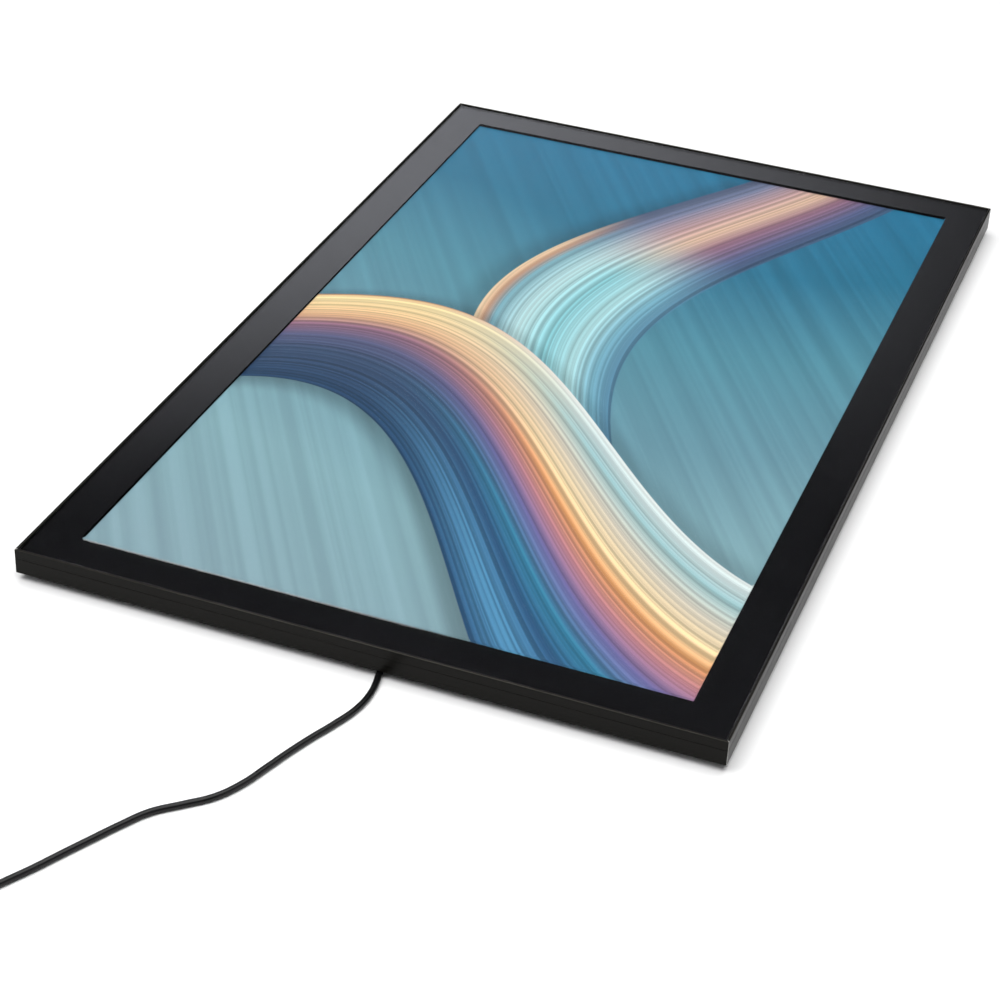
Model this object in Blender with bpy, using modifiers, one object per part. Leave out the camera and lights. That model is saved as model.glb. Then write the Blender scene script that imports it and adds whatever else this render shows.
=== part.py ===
"""A slim LED light table: a mitred frame with a lit diffuser, a printed film and a lift-off magnetic cover.

X runs along the short sides and Y along the long sides, with +Y away from the cord. Z is up, and the
rubber feet stand on z = 0 with the origin under the middle of the table.
"""

import math

import bmesh
import bpy
from mathutils import Matrix, Vector

# ---- Driving dimensions, in metres ----
WIDTH = 0.500
LENGTH = 0.800
FRAME_HEIGHT = 0.019
FOOT_HEIGHT = 0.0055
GAP = 0.0003  # between neighbouring pieces

# Thicknesses of the layers, from the back to the front
BACK_THICKNESS = 0.003
FLANGE_THICKNESS = 0.0015
REFLECTOR_THICKNESS = 0.0005
GUIDE_THICKNESS = 0.004
LEDGE_THICKNESS = 0.0014
DIFFUSER_THICKNESS = 0.003
FILM_THICKNESS = 0.0003
MAGNET_THICKNESS = 0.0015
STEEL_THICKNESS = 0.0006
PRINT_THICKNESS = 0.0002
COVER_THICKNESS = 0.003

# Levels above the frame's lower edge
FLANGE_BOTTOM = BACK_THICKNESS + GAP
FLANGE_TOP = FLANGE_BOTTOM + FLANGE_THICKNESS
REFLECTOR_BOTTOM = FLANGE_TOP + GAP
GUIDE_BOTTOM = REFLECTOR_BOTTOM + REFLECTOR_THICKNESS + GAP
GUIDE_TOP = GUIDE_BOTTOM + GUIDE_THICKNESS
LEDGE_BOTTOM = GUIDE_TOP + GAP
LEDGE_TOP = LEDGE_BOTTOM + LEDGE_THICKNESS
DIFFUSER_BOTTOM = LEDGE_BOTTOM
FILM_BOTTOM = DIFFUSER_BOTTOM + DIFFUSER_THICKNESS + GAP
MAGNET_BOTTOM = LEDGE_TOP + GAP
STEEL_BOTTOM = MAGNET_BOTTOM + MAGNET_THICKNESS + GAP
PRINT_BOTTOM = STEEL_BOTTOM + STEEL_THICKNESS + GAP
COVER_BOTTOM = PRINT_BOTTOM + PRINT_THICKNESS + GAP

# Distances in from the frame's outer faces
WALL = 0.0018
CHAMBER_END = 0.006
INNER_WALL_END = 0.0072
FLANGE_END = 0.016
LEDGE_END = 0.0215
COVER_INSET = WALL + 0.0004
GUIDE_INSET = 0.010
DIFFUSER_INSET = 0.022
FILM_INSET = 0.023
WINDOW_INSET = 0.033
STRIP_START = 0.006  # magnet and steel strips
STRIP_END = 0.016

# Fine shape of the extrusion
EDGE_CHAMFER = 0.00025
GROOVE_BOTTOM = 0.0115
GROOVE_HEIGHT = 0.0004
GROOVE_DEPTH = 0.0002

MITRE_SETBACK = GAP / math.sqrt(2)  # of each end along its side, which leaves a gap across the mitre
KEY_ARM = 0.030

# LED strips
BOARD_THICKNESS = 0.001
LED_DEPTH = 0.0009
LED_LENGTH = 0.0035
LED_HEIGHT = 0.0028
LED_COUNT = 45
LED_STRIP_END = 0.020  # from the frame's short sides to the strip's ends

# Screws
SCREW_CLEARANCE = 0.0003
BACK_SCREW_RADIUS = 0.0013
BACK_SCREW_HEAD = (0.0028, 0.0016)
BACK_SCREW_LENGTH = 0.0045
BACK_SCREW_INSET = 0.0115
LONG_SIDE_SCREWS_Y = (-0.300, 0.0, 0.300)
SHORT_SIDE_SCREWS_X = (-0.150, 0.150)
HANGER_SCREW_RADIUS = 0.0011
HANGER_SCREW_HEAD = (0.0023, 0.0012)
HANGER_SCREW_LENGTH = 0.0042

# Keyhole hangers
HANGER_SIZE = (0.024, 0.050)
HANGER_THICKNESS = 0.0015
HANGER_CORNER = 0.003
HANGER_X = 0.150
HANGER_Y = 0.330
KEYHOLE_Y = 0.324
KEYHOLE_RADIUS = 0.005
KEYHOLE_SLOT = (0.005, 0.011)
POCKET_SIZE = (0.015, 0.030)
HANGER_SCREW_OFFSET = 0.0205

FOOT_RADIUS = 0.007
FOOT_X = 0.205
FOOT_Y = 0.355

# Cord outlet, in a slot of the back panel beside the near side
OUTLET_X = 0.014
OUTLET_WIDTH = 0.016
OUTLET_FLANGE = 0.024
OUTLET_LENGTH = 0.021
OUTLET_NEAR_Y = -0.352
OUTLET_BOTTOM = 0.0008
SLOT_NEAR_Y = -0.3830
BOOT_TIP_Y = -0.3800
BOOT_RADII = (0.0039, 0.0026)
BOOT_HEIGHTS = (0.0046, 0.0028)

LED_LEAD_RADIUS = 0.0006
LED_LEAD_SPREAD = 0.003
WIRE_NOTCH = 0.012

# Power cord
CORD_RADIUS = 0.00225
CORD_Z = 0.00235
CORD_ROUTE = [
    (0.0140, -0.3803),
    (0.0143, -0.3890),
    (0.0163, -0.3990),
    (0.0193, -0.4180),
    (0.0175, -0.4375),
    (0.0112, -0.4565),
    (0.0036, -0.4750),
    (-0.0033, -0.4937),
    (-0.0095, -0.5127),
    (-0.0160, -0.5316),
    (-0.0258, -0.5490),
    (-0.0401, -0.5630),
    (-0.0545, -0.5767),
    (-0.0649, -0.5937),
    (-0.0743, -0.6114),
    (-0.0835, -0.6290),
    (-0.0927, -0.6470),
    (-0.1025, -0.6643),
    (-0.1150, -0.6874),
]
CORD_STEP = 0.011

# Coil of the stored length: four turns side by side, in two layers, with a free tail to the plug
COIL_CENTRE = (-0.151, -0.689)
COIL_MEAN_RADIUS = 0.024
COIL_PITCH = 0.0046
COIL_COLUMNS = 4
COIL_LIFT = 0.0011
TAIL_START = -66.0  # degrees around the coil
TAIL_LEAVES = -120.0
TAIL_LENGTH = 0.030
TIE_ANGLE = 150.0
TIE_THICKNESS = 0.0008
TIE_WIDTH = 0.012

# Low-voltage plug
RELIEF_LENGTH = 0.016
PLUG_BODY_LENGTH = 0.024
PLUG_BODY_RADIUS = 0.005
BARREL_LENGTH = 0.0095
BARREL_RADIUS = 0.00275
BARREL_BORE = 0.00115

QUARTER = math.pi / 2
COIL_LAYERS = 2
COIL_INNER = COIL_MEAN_RADIUS - COIL_PITCH * COIL_COLUMNS / 2
COIL_OUTER = COIL_MEAN_RADIUS + COIL_PITCH * COIL_COLUMNS / 2
COIL_TOP = COIL_LIFT + COIL_PITCH * COIL_LAYERS


# ---- Scene and materials ----
def clear_scene():
    for item in list(bpy.data.objects):
        bpy.data.objects.remove(item, do_unlink=True)


def new_collection(name):
    collection = bpy.data.collections.new(name)
    bpy.context.scene.collection.children.link(collection)
    return collection


def new_material(name, colour, roughness, metallic=0.0):
    material = bpy.data.materials.new(name)
    material.use_nodes = True
    shader = material.node_tree.nodes["Principled BSDF"]
    shader.inputs["Base Color"].default_value = (*colour, 1.0)
    shader.inputs["Roughness"].default_value = roughness
    shader.inputs["Metallic"].default_value = metallic
    return material


def place(item, material, location=(0.0, 0.0, 0.0), rotation=(0.0, 0.0, 0.0)):
    """Puts an object in the table's collection, with its material."""
    PARTS.objects.link(item)
    item.data.materials.append(material)
    item.location = location
    item.rotation_euler = rotation
    return item


def hide_as_cutter(item):
    CUTTERS.objects.link(item)
    item.hide_render = True
    item.display_type = "WIRE"
    return item


# ---- Shape helpers ----
def box_mesh(name, size):
    mesh = bpy.data.meshes.new(name)
    shape = bmesh.new()
    bmesh.ops.create_cube(shape, size=1.0)
    bmesh.ops.scale(shape, vec=size, verts=shape.verts)
    shape.to_mesh(mesh)
    shape.free()
    return mesh


def slab(name, low, high, material, bevel=0.0):
    """A rectangular block between two corners."""
    size = [high[i] - low[i] for i in range(3)]
    middle = [(high[i] + low[i]) / 2 for i in range(3)]
    item = bpy.data.objects.new(name, box_mesh(name, size))
    place(item, material, location=middle)
    if bevel:
        rounding = item.modifiers.new("edge", "BEVEL")
        rounding.width = bevel
        rounding.segments = 2
    return item


def inset_slab(name, inset, bottom, thickness, material, bevel=0.0):
    """A sheet as large as the table, less an inset all round. bottom counts from the frame's lower edge."""
    half_x, half_y = WIDTH / 2 - inset, LENGTH / 2 - inset
    low = (-half_x, -half_y, FOOT_HEIGHT + bottom)
    high = (half_x, half_y, FOOT_HEIGHT + bottom + thickness)
    return slab(name, low, high, material, bevel)


def outline_curve(name, outlines, half_depth):
    """A flat shape pushed out along Z both ways: the first outline is its rim, the others are holes."""
    curve = bpy.data.curves.new(name, "CURVE")
    curve.dimensions = "2D"
    curve.fill_mode = "BOTH"
    curve.extrude = half_depth
    for outline in outlines:
        spline = curve.splines.new("POLY")
        spline.points.add(len(outline) - 1)
        for point, (x, y) in zip(spline.points, outline):
            point.co = (x, y, 0.0, 1.0)
        spline.use_cyclic_u = True
    return curve


def outline_mesh(name, outlines, half_depth):
    """The same shape as a welded mesh."""
    holder = bpy.data.objects.new(name, outline_curve(name, outlines, half_depth))
    PARTS.objects.link(holder)
    graph = bpy.context.evaluated_depsgraph_get()
    mesh = bpy.data.meshes.new_from_object(holder.evaluated_get(graph))
    bpy.data.objects.remove(holder, do_unlink=True)
    shape = bmesh.new()
    shape.from_mesh(mesh)
    bmesh.ops.remove_doubles(shape, verts=shape.verts, dist=0.00001)
    shape.to_mesh(mesh)
    shape.free()
    return mesh


def rectangle(x_low, y_low, x_high, y_high):
    return [(x_low, y_low), (x_high, y_low), (x_high, y_high), (x_low, y_high)]


def circle(x, y, radius, count=12):
    turns = [2 * math.pi * i / count for i in range(count)]
    return [(x + radius * math.cos(a), y + radius * math.sin(a)) for a in turns]


def turned(name, profile, material, location, rotation=(0.0, 0.0, 0.0), steps=24):
    """A turned shape: its profile runs from the axis at the top, down the outside, to the axis."""
    mesh = bpy.data.meshes.new(name)
    points = [(radius, 0.0, height) for radius, height in profile]
    edges = [(i, i + 1) for i in range(len(points) - 1)]
    mesh.from_pydata(points, edges, [])
    item = place(bpy.data.objects.new(name, mesh), material, location, rotation)
    lathe = item.modifiers.new("lathe", "SCREW")
    lathe.steps = steps
    lathe.render_steps = steps
    lathe.use_merge_vertices = True
    lathe.merge_threshold = 0.00001
    lathe.use_smooth_shade = True
    return item


def tube(name, points, radii, material, sides=2):
    """A round tube with flat ends along points, as thick as radii says at each."""
    curve = bpy.data.curves.new(name, "CURVE")
    curve.dimensions = "3D"
    curve.bevel_depth = 1.0
    curve.bevel_resolution = sides
    curve.use_fill_caps = True
    spline = curve.splines.new("POLY")
    spline.points.add(len(points) - 1)
    for point, place_at, radius in zip(spline.points, points, radii):
        point.co = (*place_at, 1.0)
        point.radius = radius
    return place(bpy.data.objects.new(name, curve), material)


def smooth_line(points, step):
    """Points about a step apart on the smooth curve through the given ones."""
    ends = [2 * points[0] - points[1], 2 * points[-1] - points[-2]]
    padded = [ends[0], *points, ends[1]]
    fine = []
    for i in range(1, len(padded) - 2):
        before, start, finish, after = padded[i - 1 : i + 3]
        count = 16
        for j in range(count):
            t = j / count
            straight = 2 * start + (finish - before) * t
            bent = (2 * before - 5 * start + 4 * finish - after) * t**2
            last = (3 * start - before - 3 * finish + after) * t**3
            fine.append((straight + bent + last) / 2)
    fine.append(points[-1])
    lengths = [(b - a).length for a, b in zip(fine, fine[1:])]
    total = sum(lengths)
    wanted = max(2, round(total / step))
    line = [fine[0]]
    passed = 0.0
    for point, length in zip(fine[1:], lengths):
        passed += length
        if passed >= len(line) * total / wanted - 1e-9:
            line.append(point)
    line[-1] = points[-1]
    return line


def cut(item, cutter, operation="DIFFERENCE"):
    boolean = item.modifiers.new(operation.lower(), "BOOLEAN")
    boolean.operation = operation
    boolean.object = cutter
    boolean.solver = "EXACT"


# ---- Screws' places ----
def back_screw_places():
    """(x, y, side) of each screw that holds the back panel to a frame profile's flange."""
    across, along = WIDTH / 2 - BACK_SCREW_INSET, LENGTH / 2 - BACK_SCREW_INSET
    places = []
    for y in LONG_SIDE_SCREWS_Y:
        places.append((-across, y, "left"))
        places.append((across, y, "right"))
    for x in SHORT_SIDE_SCREWS_X:
        places.append((x, -along, "near"))
        places.append((x, along, "far"))
    return places


def hanger_screw_places():
    sides = (-HANGER_X, HANGER_X)
    offsets = (-HANGER_SCREW_OFFSET, HANGER_SCREW_OFFSET)
    return [(x, HANGER_Y + offset) for x in sides for offset in offsets]


# ---- Frame ----
def profile_outlines():
    """The extrusion's section, as (distance in from the outer face, height above the lower edge)."""
    groove_top = GROOVE_BOTTOM + GROOVE_HEIGHT
    rim = [
        (EDGE_CHAMFER, 0.0),
        (WALL, 0.0),
        (WALL, FLANGE_BOTTOM),
        (FLANGE_END, FLANGE_BOTTOM),
        (FLANGE_END, FLANGE_TOP),
        (INNER_WALL_END, FLANGE_TOP),
        (INNER_WALL_END, LEDGE_BOTTOM),
        (LEDGE_END, LEDGE_BOTTOM),
        (LEDGE_END, LEDGE_TOP),
        (WALL, LEDGE_TOP),
        (WALL, FRAME_HEIGHT - EDGE_CHAMFER),
        (WALL - EDGE_CHAMFER, FRAME_HEIGHT),
        (EDGE_CHAMFER, FRAME_HEIGHT),
        (0.0, FRAME_HEIGHT - EDGE_CHAMFER),
        (0.0, groove_top),
        (GROOVE_DEPTH, groove_top),
        (GROOVE_DEPTH, GROOVE_BOTTOM),
        (0.0, GROOVE_BOTTOM),
        (0.0, EDGE_CHAMFER),
    ]
    chamber = rectangle(WALL, FLANGE_TOP, CHAMBER_END, LEDGE_BOTTOM)
    return [rim, chamber]


def mitred_profile_mesh(name, length):
    """The section pushed along X, with its inside towards +Y, and both ends cut at 45 degrees."""
    half_length = length / 2 - MITRE_SETBACK
    mesh = outline_mesh(name, profile_outlines(), length / 2)
    section_to_side = Matrix(((0, 0, 1, 0), (1, 0, 0, 0), (0, 1, 0, 0), (0, 0, 0, 1)))
    mesh.transform(section_to_side)
    for vertex in mesh.vertices:
        vertex.co.x = math.copysign(half_length - vertex.co.y, vertex.co.x)
    return mesh


def screw_hole_cutter(name, x, y, radius, bottom, top):
    mesh = bpy.data.meshes.new(name)
    shape = bmesh.new()
    bmesh.ops.create_cone(
        shape, cap_ends=True, segments=12, radius1=radius, radius2=radius, depth=top - bottom
    )
    shape.to_mesh(mesh)
    shape.free()
    cutter = hide_as_cutter(bpy.data.objects.new(name, mesh))
    cutter.location = (x, y, (bottom + top) / 2)
    return cutter


def make_frame():
    sides = [
        ("near", WIDTH, (0.0, -LENGTH / 2), 0),
        ("right", LENGTH, (WIDTH / 2, 0.0), 1),
        ("far", WIDTH, (0.0, LENGTH / 2), 2),
        ("left", LENGTH, (-WIDTH / 2, 0.0), 3),
    ]
    profiles = {}
    for side, length, (x, y), turns in sides:
        name = f"frame_profile_{side}"
        item = bpy.data.objects.new(name, mitred_profile_mesh(name, length))
        place(item, BLACK_ALUMINIUM, (x, y, FOOT_HEIGHT), (0.0, 0.0, turns * QUARTER))
        profiles[side] = item
    hole_bottom = FOOT_HEIGHT + FLANGE_BOTTOM - 0.001
    hole_top = FOOT_HEIGHT + FLANGE_TOP + 0.001
    hole_radius = BACK_SCREW_RADIUS + SCREW_CLEARANCE
    for i, (x, y, side) in enumerate(back_screw_places(), 1):
        cutter = screw_hole_cutter(f"flange_hole_{i:02d}", x, y, hole_radius, hole_bottom, hole_top)
        cut(profiles[side], cutter)
    notch_size = (WIRE_NOTCH, FLANGE_END - INNER_WALL_END + 0.001, FLANGE_THICKNESS + 0.001)
    notch = hide_as_cutter(bpy.data.objects.new("wire_notch", box_mesh("wire_notch", notch_size)))
    notch_y = -LENGTH / 2 + INNER_WALL_END + GAP + notch_size[1] / 2
    notch.location = (OUTLET_X, notch_y, FOOT_HEIGHT + (FLANGE_BOTTOM + FLANGE_TOP) / 2)
    cut(profiles["near"], notch)


def make_corner_keys():
    """L-shaped keys in the profiles' chambers, across each mitre."""
    start, end = WALL + GAP, CHAMBER_END - GAP
    outline = [
        (start, start),
        (KEY_ARM, start),
        (KEY_ARM, end),
        (end, end),
        (end, KEY_ARM),
        (start, KEY_ARM),
    ]
    half_height = (LEDGE_BOTTOM - FLANGE_TOP) / 2 - GAP
    level = FOOT_HEIGHT + (LEDGE_BOTTOM + FLANGE_TOP) / 2
    mesh = outline_mesh("corner_key", [outline], half_height)
    corners = [("near_left", -1, -1), ("near_right", 1, -1), ("far_right", 1, 1), ("far_left", -1, 1)]
    for turns, (corner, x_side, y_side) in enumerate(corners):
        item = bpy.data.objects.new(f"corner_key_{corner}", mesh.copy())
        location = (x_side * WIDTH / 2, y_side * LENGTH / 2, level)
        place(item, ZINC, location, (0.0, 0.0, turns * QUARTER))


# ---- Sheets and panels ----
def outlet_notch(outline_near_y, half_width, far_y):
    """Points of a notch that opens to a sheet's near edge, around the cord outlet."""
    return [
        (OUTLET_X - half_width, outline_near_y),
        (OUTLET_X - half_width, far_y),
        (OUTLET_X + half_width, far_y),
        (OUTLET_X + half_width, outline_near_y),
    ]


def hanger_pockets(margin):
    half_x, half_y = POCKET_SIZE[0] / 2 + margin, POCKET_SIZE[1] / 2 + margin
    centres = ((-HANGER_X, HANGER_Y), (HANGER_X, HANGER_Y))
    return [rectangle(x - half_x, y - half_y, x + half_x, y + half_y) for x, y in centres]


def make_back_panel():
    half_x, half_y = WIDTH / 2 - WALL - GAP, LENGTH / 2 - WALL - GAP
    slot_half = OUTLET_WIDTH / 2 + GAP
    slot_far_y = OUTLET_NEAR_Y + OUTLET_LENGTH + GAP
    slot = rectangle(OUTLET_X - slot_half, SLOT_NEAR_Y, OUTLET_X + slot_half, slot_far_y)
    holes = [slot, *hanger_pockets(0.0)]
    for x, y, _side in back_screw_places():
        holes.append(circle(x, y, BACK_SCREW_RADIUS + SCREW_CLEARANCE))
    for x, y in hanger_screw_places():
        holes.append(circle(x, y, HANGER_SCREW_RADIUS + SCREW_CLEARANCE))
    panel = rectangle(-half_x, -half_y, half_x, half_y)
    mesh = outline_mesh("back_panel", [panel, *holes], BACK_THICKNESS / 2)
    item = bpy.data.objects.new("back_panel", mesh)
    place(item, PANEL_GREY, (0.0, 0.0, FOOT_HEIGHT + BACK_THICKNESS / 2))


def make_backing_foam():
    """The sheet that presses the reflector up. It leaves room round the outlet, the leads and the hangers."""
    inset = FLANGE_END + GAP
    half_x, half_y = WIDTH / 2 - inset, LENGTH / 2 - inset
    notch_far_y = OUTLET_NEAR_Y + OUTLET_LENGTH + 0.002
    notch = outlet_notch(-half_y, OUTLET_FLANGE / 2 + 0.001, notch_far_y)
    sheet = [(-half_x, -half_y), *notch, (half_x, -half_y), (half_x, half_y), (-half_x, half_y)]
    holes = hanger_pockets(0.001)
    for x, y in hanger_screw_places():
        holes.append(circle(x, y, HANGER_SCREW_RADIUS + SCREW_CLEARANCE))
    mesh = outline_mesh("backing_foam", [sheet, *holes], FLANGE_THICKNESS / 2)
    item = bpy.data.objects.new("backing_foam", mesh)
    level = FOOT_HEIGHT + (FLANGE_BOTTOM + FLANGE_TOP) / 2
    place(item, BLACK_FOAM, (0.0, 0.0, level))


def make_light_stack():
    inset_slab("reflector_sheet", GUIDE_INSET, REFLECTOR_BOTTOM, REFLECTOR_THICKNESS, WHITE_SHEET)
    inset_slab("light_guide_panel", GUIDE_INSET, GUIDE_BOTTOM, GUIDE_THICKNESS, CLEAR_ACRYLIC)
    inset_slab("diffuser_panel", DIFFUSER_INSET, DIFFUSER_BOTTOM, DIFFUSER_THICKNESS, OPAL_ACRYLIC)
    inset_slab("printed_film", FILM_INSET, FILM_BOTTOM, FILM_THICKNESS, PRINTED_FILM)


def make_cover():
    inset_slab("cover_panel", COVER_INSET, COVER_BOTTOM, COVER_THICKNESS, CLEAR_ACRYLIC, bevel=0.0004)
    outer_x, outer_y = WIDTH / 2 - COVER_INSET, LENGTH / 2 - COVER_INSET
    inner_x, inner_y = WIDTH / 2 - WINDOW_INSET, LENGTH / 2 - WINDOW_INSET
    ring = [
        rectangle(-outer_x, -outer_y, outer_x, outer_y),
        rectangle(-inner_x, -inner_y, inner_x, inner_y),
    ]
    mesh = outline_mesh("border_print", ring, PRINT_THICKNESS / 2)
    item = bpy.data.objects.new("border_print", mesh)
    place(item, BLACK_PRINT, (0.0, 0.0, FOOT_HEIGHT + PRINT_BOTTOM + PRINT_THICKNESS / 2))


def make_edge_strips(kind, bottom, thickness, material):
    """Four strips round the border: the long sides' ones end against the short sides' ones."""
    low_z, high_z = FOOT_HEIGHT + bottom, FOOT_HEIGHT + bottom + thickness
    out_x, out_y = WIDTH / 2 - STRIP_START, LENGTH / 2 - STRIP_START
    in_x, in_y = WIDTH / 2 - STRIP_END, LENGTH / 2 - STRIP_END
    end_y = in_y - GAP
    slab(f"{kind}_near", (-out_x, -out_y, low_z), (out_x, -in_y, high_z), material)
    slab(f"{kind}_far", (-out_x, in_y, low_z), (out_x, out_y, high_z), material)
    slab(f"{kind}_left", (-out_x, -end_y, low_z), (-in_x, end_y, high_z), material)
    slab(f"{kind}_right", (in_x, -end_y, low_z), (out_x, end_y, high_z), material)


def make_led_strips():
    """A thin board on the inner wall of each long side, with a row of LEDs that face the light guide."""
    length = LENGTH - 2 * LED_STRIP_END
    height = GUIDE_TOP - REFLECTOR_BOTTOM
    level = FOOT_HEIGHT + REFLECTOR_BOTTOM + height / 2
    led_level = FOOT_HEIGHT + (GUIDE_BOTTOM + GUIDE_TOP) / 2 - level
    board_middle = WIDTH / 2 - INNER_WALL_END - GAP - BOARD_THICKNESS / 2
    root = 0.0002  # how far an LED's block reaches into the board
    pitch = length / LED_COUNT
    row = bmesh.new()
    for i in range(LED_COUNT):
        block = bmesh.ops.create_cube(row, size=1.0)["verts"]
        bmesh.ops.scale(row, vec=(LED_DEPTH + root, LED_LENGTH, LED_HEIGHT), verts=block)
        along = (i + 0.5) * pitch - length / 2
        out = BOARD_THICKNESS / 2 + (LED_DEPTH - root) / 2
        bmesh.ops.translate(row, vec=(out, along, led_level), verts=block)
    row_mesh = bpy.data.meshes.new("led_row")
    row.to_mesh(row_mesh)
    row.free()
    for side, direction, turn in (("left", -1, 0.0), ("right", 1, math.pi)):
        name = f"led_strip_{side}"
        board = bpy.data.objects.new(name, box_mesh(name, (BOARD_THICKNESS, length, height)))
        place(board, LED_WHITE, (direction * board_middle, 0.0, level), (0.0, 0.0, turn))
        leds = hide_as_cutter(bpy.data.objects.new(f"led_row_{side}", row_mesh))
        leds.location = board.location
        leds.rotation_euler = board.rotation_euler
        cut(board, leds, "UNION")


# ---- Fasteners, hangers and feet ----
def screw_profile(shank_radius, head, length):
    """A pan-head screw that points up, with the head's upper face at height 0."""
    head_radius, head_height = head
    return [
        (0.0, length),
        (shank_radius * 0.6, length),
        (shank_radius, length - shank_radius * 0.6),
        (shank_radius, 0.0),
        (head_radius, 0.0),
        (head_radius, -head_height * 0.55),
        (head_radius * 0.75, -head_height),
        (0.0, -head_height),
    ]


def make_back_screws():
    profile = screw_profile(BACK_SCREW_RADIUS, BACK_SCREW_HEAD, BACK_SCREW_LENGTH)
    for i, (x, y, _side) in enumerate(back_screw_places(), 1):
        turned(f"back_screw_{i:02d}", profile, DARK_STEEL, (x, y, FOOT_HEIGHT - GAP), steps=12)


def keyhole_outline(x, y):
    """A round hole with a slot that runs from it towards the far side."""
    slot_half = KEYHOLE_SLOT[0] / 2
    join = math.asin(slot_half / KEYHOLE_RADIUS)
    start, sweep, count = QUARTER + join, 2 * math.pi - 2 * join, 16
    points = []
    for i in range(count + 1):
        a = start + sweep * i / count
        points.append((x + KEYHOLE_RADIUS * math.cos(a), y + KEYHOLE_RADIUS * math.sin(a)))
    end_y = y + KEYHOLE_SLOT[1]
    for i in range(7):
        a = math.pi * i / 6
        points.append((x + slot_half * math.cos(a), end_y + slot_half * math.sin(a)))
    return points


def make_hangers():
    half_x, half_y = HANGER_SIZE[0] / 2, HANGER_SIZE[1] / 2
    corner = HANGER_CORNER
    for side, x in (("left", -HANGER_X), ("right", HANGER_X)):
        low_x, high_x = x - half_x, x + half_x
        low_y, high_y = HANGER_Y - half_y, HANGER_Y + half_y
        plate = [
            (low_x + corner, low_y),
            (high_x - corner, low_y),
            (high_x, low_y + corner),
            (high_x, high_y - corner),
            (high_x - corner, high_y),
            (low_x + corner, high_y),
            (low_x, high_y - corner),
            (low_x, low_y + corner),
        ]
        holes = [keyhole_outline(x, KEYHOLE_Y)]
        for screw_x, screw_y in hanger_screw_places():
            if screw_x == x:
                holes.append(circle(x, screw_y, HANGER_SCREW_RADIUS + SCREW_CLEARANCE))
        name = f"keyhole_hanger_{side}"
        item = bpy.data.objects.new(name, outline_mesh(name, [plate, *holes], HANGER_THICKNESS / 2))
        place(item, ZINC, (0.0, 0.0, FOOT_HEIGHT - GAP - HANGER_THICKNESS / 2))
    profile = screw_profile(HANGER_SCREW_RADIUS, HANGER_SCREW_HEAD, HANGER_SCREW_LENGTH)
    level = FOOT_HEIGHT - 2 * GAP - HANGER_THICKNESS
    for i, (x, y) in enumerate(hanger_screw_places(), 1):
        turned(f"hanger_screw_{i}", profile, ZINC, (x, y, level), steps=12)


def make_feet():
    top = FOOT_HEIGHT - GAP
    profile = [
        (0.0, top),
        (FOOT_RADIUS, top),
        (FOOT_RADIUS, top - 0.001),
        (FOOT_RADIUS - 0.0008, 0.0006),
        (FOOT_RADIUS - 0.0016, 0.0),
        (0.0, 0.0),
    ]
    places = {
        "near_left": (-FOOT_X, -FOOT_Y),
        "near_right": (FOOT_X, -FOOT_Y),
        "far_left": (-FOOT_X, FOOT_Y),
        "far_right": (FOOT_X, FOOT_Y),
    }
    for corner, (x, y) in places.items():
        turned(f"rubber_foot_{corner}", profile, BLACK_RUBBER, (x, y, 0.0))


# ---- Cord outlet and leads inside ----
def make_outlet():
    """A T-shaped block in the back panel's slot, and a tapered boot that the cord leaves by."""
    stem_top = FOOT_HEIGHT + BACK_THICKNESS + GAP
    top = FOOT_HEIGHT + FLANGE_TOP - 0.0002
    stem, head = OUTLET_WIDTH / 2, OUTLET_FLANGE / 2
    section = [
        (-stem, OUTLET_BOTTOM),
        (stem, OUTLET_BOTTOM),
        (stem, stem_top),
        (head, stem_top),
        (head, top),
        (-head, top),
        (-head, stem_top),
        (-stem, stem_top),
    ]
    mesh = outline_mesh("cord_outlet", [section], OUTLET_LENGTH / 2)
    item = bpy.data.objects.new("cord_outlet", mesh)
    middle_y = OUTLET_NEAR_Y + OUTLET_LENGTH / 2
    place(item, BLACK_PLASTIC, (OUTLET_X, middle_y, 0.0), (QUARTER, 0.0, 0.0))
    count = 7
    points, radii = [], []
    for i in range(count):
        t = i / (count - 1)
        y = OUTLET_NEAR_Y - GAP + (BOOT_TIP_Y - OUTLET_NEAR_Y + GAP) * t
        points.append((OUTLET_X, y, BOOT_HEIGHTS[0] + (BOOT_HEIGHTS[1] - BOOT_HEIGHTS[0]) * t))
        radii.append(BOOT_RADII[0] + (BOOT_RADII[1] - BOOT_RADII[0]) * t)
    tube("outlet_boot", points, radii, BLACK_RUBBER, sides=4)


def make_led_leads():
    """A thin lead to each LED strip, through the near flange's notch and along its inner wall."""
    channel = (INNER_WALL_END + GUIDE_INSET) / 2
    low = FOOT_HEIGHT + FLANGE_BOTTOM + 0.0007
    high = FOOT_HEIGHT + (GUIDE_BOTTOM + GUIDE_TOP) / 2
    near_y = -LENGTH / 2 + channel
    end_y = -LENGTH / 2 + LED_STRIP_END - GAP
    for side, direction in (("left", -1), ("right", 1)):
        start_x = OUTLET_X + direction * LED_LEAD_SPREAD
        corner_x = direction * (WIDTH / 2 - channel)
        route = [
            (start_x, OUTLET_NEAR_Y - GAP, low),
            (start_x, near_y + 0.0080, low),
            (start_x, near_y + 0.0008, low),
            (start_x, near_y + 0.0001, low + 0.0006),
            (start_x, near_y, high - 0.0012),
            (start_x + direction * 0.0010, near_y, high - 0.0002),
            (start_x + direction * 0.0040, near_y, high),
            (start_x + direction * 0.0200, near_y, high),
            (corner_x - direction * 0.0100, near_y, high),
            (corner_x - direction * 0.0012, near_y, high),
            (corner_x - direction * 0.0003, near_y + 0.0003, high),
            (corner_x, near_y + 0.0012, high),
            (corner_x, end_y, high),
        ]
        tube(f"led_lead_{side}", route, [LED_LEAD_RADIUS] * len(route), LEAD_SHEATH)


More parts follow.
